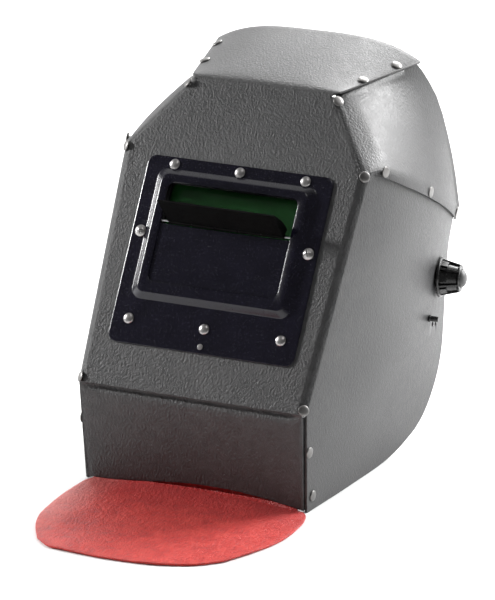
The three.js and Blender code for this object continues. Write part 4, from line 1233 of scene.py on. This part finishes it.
def arm_piece(side, sign):
    """An arm with a round eye on the pivot bolt, a stop tail and a strip out to the headband."""
    x_band = BAND_HALF + BAND_SHEET / 2 + 1.85
    track = [(ARM_X, 4), (ARM_X, 10), (ARM_X, 16), (ARM_X - 1, 19), (x_band + 6, 31), (x_band + 1.2, 37.5),
             (x_band, 41),
             (x_band, 48), (x_band, 57)]
    smooth_track = curve_through(track, 8)
    route = []
    for i in range(41):
        p = smooth_track(i / 40)
        q = smooth_track(min(i / 40 + 0.01, 1)) - smooth_track(max(i / 40 - 0.01, 0))
        outward = Vector((q.y, -q.x, 0)).normalized()
        route.append((Vector((sign * p.x, p.y, 0)), Vector((0, 0, 1)),
                      Vector((sign * outward.x, outward.y, 0))))
    vertices, faces = strip(route, 18, 3, 0.8)
    eye = [(4.2, -1.5), (12.4, -1.5), (13, -1.0), (13, 1.0), (12.4, 1.5), (4.2, 1.5), (4.2, -1.5)]
    eye_vertices, eye_faces = lathe(eye, 48)
    turn = along((sign * ARM_X, 0, 0), (sign, 0, 0))
    start = len(vertices)
    vertices += [turn @ v for v in eye_vertices]
    faces += [[start + i for i in f] for f in eye_faces]
    spin = Matrix.Rotation(math.radians(-14), 4, "X")
    start = len(vertices)
    for x in (ARM_X - 1.5, ARM_X + 1.5):
        vertices += [spin @ Vector((sign * x, y, z)) for y, z in ((-4.5, -12), (4.5, -12), (4.5, -41),
                                                                  (3, -43), (-3, -43),
                                                                  (-4.5, -41))]
    faces += [[start + i for i in range(6)], [start + 6 + i for i in reversed(range(6))]]
    faces += [[start + i, start + 6 + i, start + 6 + (i + 1) % 6, start + (i + 1) % 6] for i in range(6)]
    piece = make_piece("pivot_arm_" + side + "_body", placed(vertices, HARNESS_TURN), faces, black_plastic,
                       "harness",
                       ["pivot_arm_" + side], smooth_faces=False)
    face_outward(piece)
    rounded(piece, 0.3, 2, 35)
    for i, z in enumerate((-5, 5)):
        button, button_faces = lathe([(0, -0.4), (3, -0.4), (3.2, 0), (2.8, 1.0), (1.5, 1.5), (0, 1.6)], 24)
        seat = HARNESS_TURN @ along((sign * (x_band + 1.5), 52, z), (sign, 0, 0))
        make_piece(f"arm_rivet_{side}_{i + 1}", placed(button, seat), button_faces, steel, "harness")


for side, sign in (("left", 1), ("right", -1)):
    arm_piece(side, sign)
    button, button_faces = lathe([(0, -0.4), (3.4, -0.4), (3.6, 0), (3.2, 0.9), (1.6, 1.4), (0, 1.5)], 24)
    seat = HARNESS_TURN @ along((sign * (CROWN_HALF + 0.6), CROWN_Y, 0), (sign, 0, 0))
    make_piece("crown_rivet_" + side, placed(button, seat), button_faces, black_plastic, "harness")

ratchet_turn = HARNESS_TURN @ Matrix.Translation((0, 93.2, 0)) @ Matrix.Rotation(-math.pi / 2, 4, "X")
RATCHET_FLUTES, RATCHET_STEPS = 18, 216
ratchet_heights = [0, 0.6, 1.6, 11.2, 12.6, 13.0]
ratchet_radii = [18.0, 18.7, 19.0, 18.6, 17.6, 16.6]


def ratchet_radius(level, angle):
    """Flutes all round, deeper on the rim than at its rounded edges."""
    depth = 0.55 if 0 < level < 4 else 0.3
    return ratchet_radii[level] - depth * (1 + math.cos(RATCHET_FLUTES * angle))


fan_piece("ratchet_wheel", ratchet_radius, ratchet_heights, RATCHET_STEPS, black_plastic, ratchet_turn,
          "ratchet_knob", ["ratchet_knob"])

# The sweatband: foam in cloth, swollen by a cloth simulation from a slightly smaller body.
pad_points = bow(BAND_HALF - 4.6, BAND_FRONT - 4.6, 0)
pad_points = [p for p in pad_points if p[1] < -38]
pad_vertices, pad_faces = strip(plan_route(pad_points), BAND_HEIGHT + 2, 4.6, 1.2)
sweatband = make_piece("sweatband_pad", placed(pad_vertices, HARNESS_TURN), pad_faces, foam, "harness",
                       ["sweatband"])
face_outward(sweatband)
modifier(sweatband, "REMESH", mode="VOXEL", voxel_size=0.0018, use_smooth_shade=True)
apply_modifiers(sweatband)


def swell(piece, most):
    """Inflates a padded piece by cloth simulation and keeps each point within a set distance of its start."""
    start = [v.co.copy() for v in piece.data.vertices]
    cloth = piece.modifiers.new("cloth", "CLOTH")
    cloth.settings.use_pressure = True
    cloth.settings.uniform_pressure_force = 4.0
    cloth.settings.effector_weights.gravity = 0.0
    cloth.settings.quality = 4
    cloth.settings.tension_stiffness = 30
    cloth.settings.compression_stiffness = 30
    scene = bpy.context.scene
    for number in range(1, 21):
        scene.frame_set(number)
    graph = bpy.context.evaluated_depsgraph_get()
    moved = [v.co.copy() for v in piece.evaluated_get(graph).data.vertices]
    piece.modifiers.remove(cloth)
    scene.frame_set(1)
    for vertex, a, b in zip(piece.data.vertices, start, moved):
        step = b - a
        if step.length > most:
            step = step.normalized() * most
        vertex.co = a + step
    modifier(piece, "SUBSURF", levels=1, render_levels=1)
    apply_modifiers(piece)
    piece.data.polygons.foreach_set("use_smooth", [True] * len(piece.data.polygons))


swell(sweatband, 1.3 * MM)


# ---- leather bib ----
LEFT_SIDE = [(-95, 8.6), (-98, 3), (-99, -10), (-98, -45), (-93, -82), (-83.5, -114), (-66, -144)]
RIGHT_SIDE = [(97, 8.6), (104, 5), (109, -3), (113.5, -20), (116, -57), (109.6, -91), (97, -126)]
FRONT_SIDE = [(-66, -144), (-50, -157), (-36, -160), (3, -162.5), (40, -159.5), (62, -153), (81, -143),
              (97, -126)]
BACK_SIDE = [(-95, 8.6), (0, 6), (97, 8.6)]
LEATHER = 1.6


def bib_height(x, y):
    """Lies on the floor, with low waves, a lifted edge at the outline and a rise under the chin's arch."""
    wave = 1.5 * max(noise.noise(Vector((x * 0.017, y * 0.021, 4.0))) + 0.12, 0) * smooth(2, -18, y)
    ripple = 0.35 * noise.noise(Vector((x * 0.07, y * 0.07, 9.0))) * smooth(4, -8, y)
    under = 3.2 * smooth(-26, 4, y) * smooth(88, 40, abs(x - 8))
    return LEATHER + 0.15 + max(wave + ripple, 0) + under


bib_us = [i / 48 for i in range(49)]
bib_vs = [i / 44 for i in range(45)]
flat_bib = patch(curve_through(BACK_SIDE), curve_through(FRONT_SIDE), curve_through(LEFT_SIDE),
                 curve_through(RIGHT_SIDE), bib_us, bib_vs)
bib_rows = []
TUCK = [(80, 11.6, 27), (80, 12.1, 20), (84, 12.5, 14), (90, 12.6, 9.5), (95, 11.6, 6.8), (96, 9.0, 5.6)]
for half, y, z in TUCK:
    row = []
    for u in bib_us:
        x = mix(-half, half, u)
        low = max(LEATHER + 0.15, min(z, chin_rise(x) - 0.35)) if y < 12 else z
        row.append(Vector((x, y, low)))
    bib_rows.append(row)
for row in flat_bib:
    bib_rows.append([Vector((p.x, p.y, bib_height(p.x, p.y))) for p in row])
bib_surface = Surface()
bib_surface.grid(bib_rows, flip=True)
bib = make_piece("bib_leather", [place(p) for p in bib_surface.points], bib_surface.faces, red_leather, None,
                 ["leather_bib"])
modifier(bib, "SOLIDIFY", thickness=LEATHER * MM, offset=-1.0)
modifier(bib, "BEVEL", width=0.45 * MM, segments=2, limit_method="ANGLE", angle_limit=math.radians(55))
apply_modifiers(bib)
bib.data.polygons.foreach_set("use_smooth", [True] * len(bib.data.polygons))
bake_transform(bib)

# ---- carried-over pieces ----
nodes = frame["nodes"]
for name, finish in (("lens_gasket", rubber), ("lens_retainer", black_steel), ("lens_spring", steel),
                     ("flap_hinge_pin", steel)):
    nodes[name].data.materials.clear()
    nodes[name].data.materials.append(finish)

# ---- floor ----
floor_mesh = bpy.data.meshes.new("floor")
FLOOR = 6.0
floor_mesh.from_pydata([(-FLOOR, -FLOOR, 0), (FLOOR, -FLOOR, 0), (FLOOR, FLOOR, 0), (-FLOOR, FLOOR, 0)], [],
                       [(0, 1, 2, 3)])
floor = bpy.data.objects.new("floor", floor_mesh)
floor.location.z = -0.0004
bpy.context.scene.collection.objects.link(floor)
floor_finish = Nodes("floor")
floor_tone = floor_finish.noise(6, 2)
floor_finish.set(Base_Color=floor_finish.ramp(floor_tone, [(0.3, grey(0.93)), (0.7, grey(0.95))]),
                 Roughness=0.9)
floor_mesh.materials.append(floor_finish.material)

# ---- light ----
world = bpy.data.worlds.new("studio")
bpy.context.scene.world = world
world.use_nodes = True
tree = world.node_tree
background = tree.nodes["Background"]
direction = tree.nodes.new("ShaderNodeTexCoord").outputs["Generated"]
split = tree.nodes.new("ShaderNodeSeparateXYZ")
tree.links.new(direction, split.inputs["Vector"])
level = tree.nodes.new("ShaderNodeMapRange")
level.interpolation_type = "SMOOTHSTEP"
# The room is bright behind the helmet and dim in front of it.
level.inputs["From Min"].default_value = -0.15
level.inputs["From Max"].default_value = 0.95
level.inputs["To Min"].default_value = 0.09
level.inputs["To Max"].default_value = 1.9
tree.links.new(split.outputs["Y"], level.inputs["Value"])
tree.links.new(level.outputs["Result"], background.inputs["Strength"])
background.inputs["Color"].default_value = (1, 1, 1, 1)


def soft_light(name, location, target, size, power):
    data = bpy.data.lights.new(name, "AREA")
    data.shape = "DISK"
    data.size = size
    data.energy = power
    lamp = bpy.data.objects.new(name, data)
    bpy.context.scene.collection.objects.link(lamp)
    lamp.location = location
    lamp.rotation_mode = "QUATERNION"
    lamp.rotation_quaternion = (Vector(target) - Vector(location)).to_track_quat("-Z", "Y")


soft_light("key_rear_right", (1.0, 1.35, 1.15), (0.05, 0.08, 0.25), 0.9, 54)
soft_light("top_rear", (-0.3, 1.7, 1.5), (0, 0.05, 0.25), 1.1, 34)
soft_light("fill_left", (-1.6, -0.40, 0.80), (0, -0.05, 0.15), 0.3, 30)
soft_light("fill_front", (0.1, -0.9, 2.3), (0, -0.05, 0.15), 0.6, 4)

# ---- camera ----
TARGET = Vector((0.0055, -0.0007, 0.1471))
AZIMUTH, ELEVATION, DISTANCE = math.radians(26.5), math.radians(17.03), 4.462
back = Vector((math.sin(AZIMUTH) * math.cos(ELEVATION), -math.cos(AZIMUTH) * math.cos(ELEVATION),
               math.sin(ELEVATION)))
camera_data = bpy.data.cameras.new("camera")
camera_data.lens = 318.6
camera_data.sensor_width = 36
camera = bpy.data.objects.new("camera", camera_data)
bpy.context.scene.collection.objects.link(camera)
camera.location = TARGET + back * DISTANCE
camera.rotation_mode = "QUATERNION"
camera.rotation_quaternion = (-back).to_track_quat("-Z", "Y")
camera_data.clip_end = 60
bpy.context.scene.camera = camera
bpy.context.scene.view_settings.view_transform = "Standard"
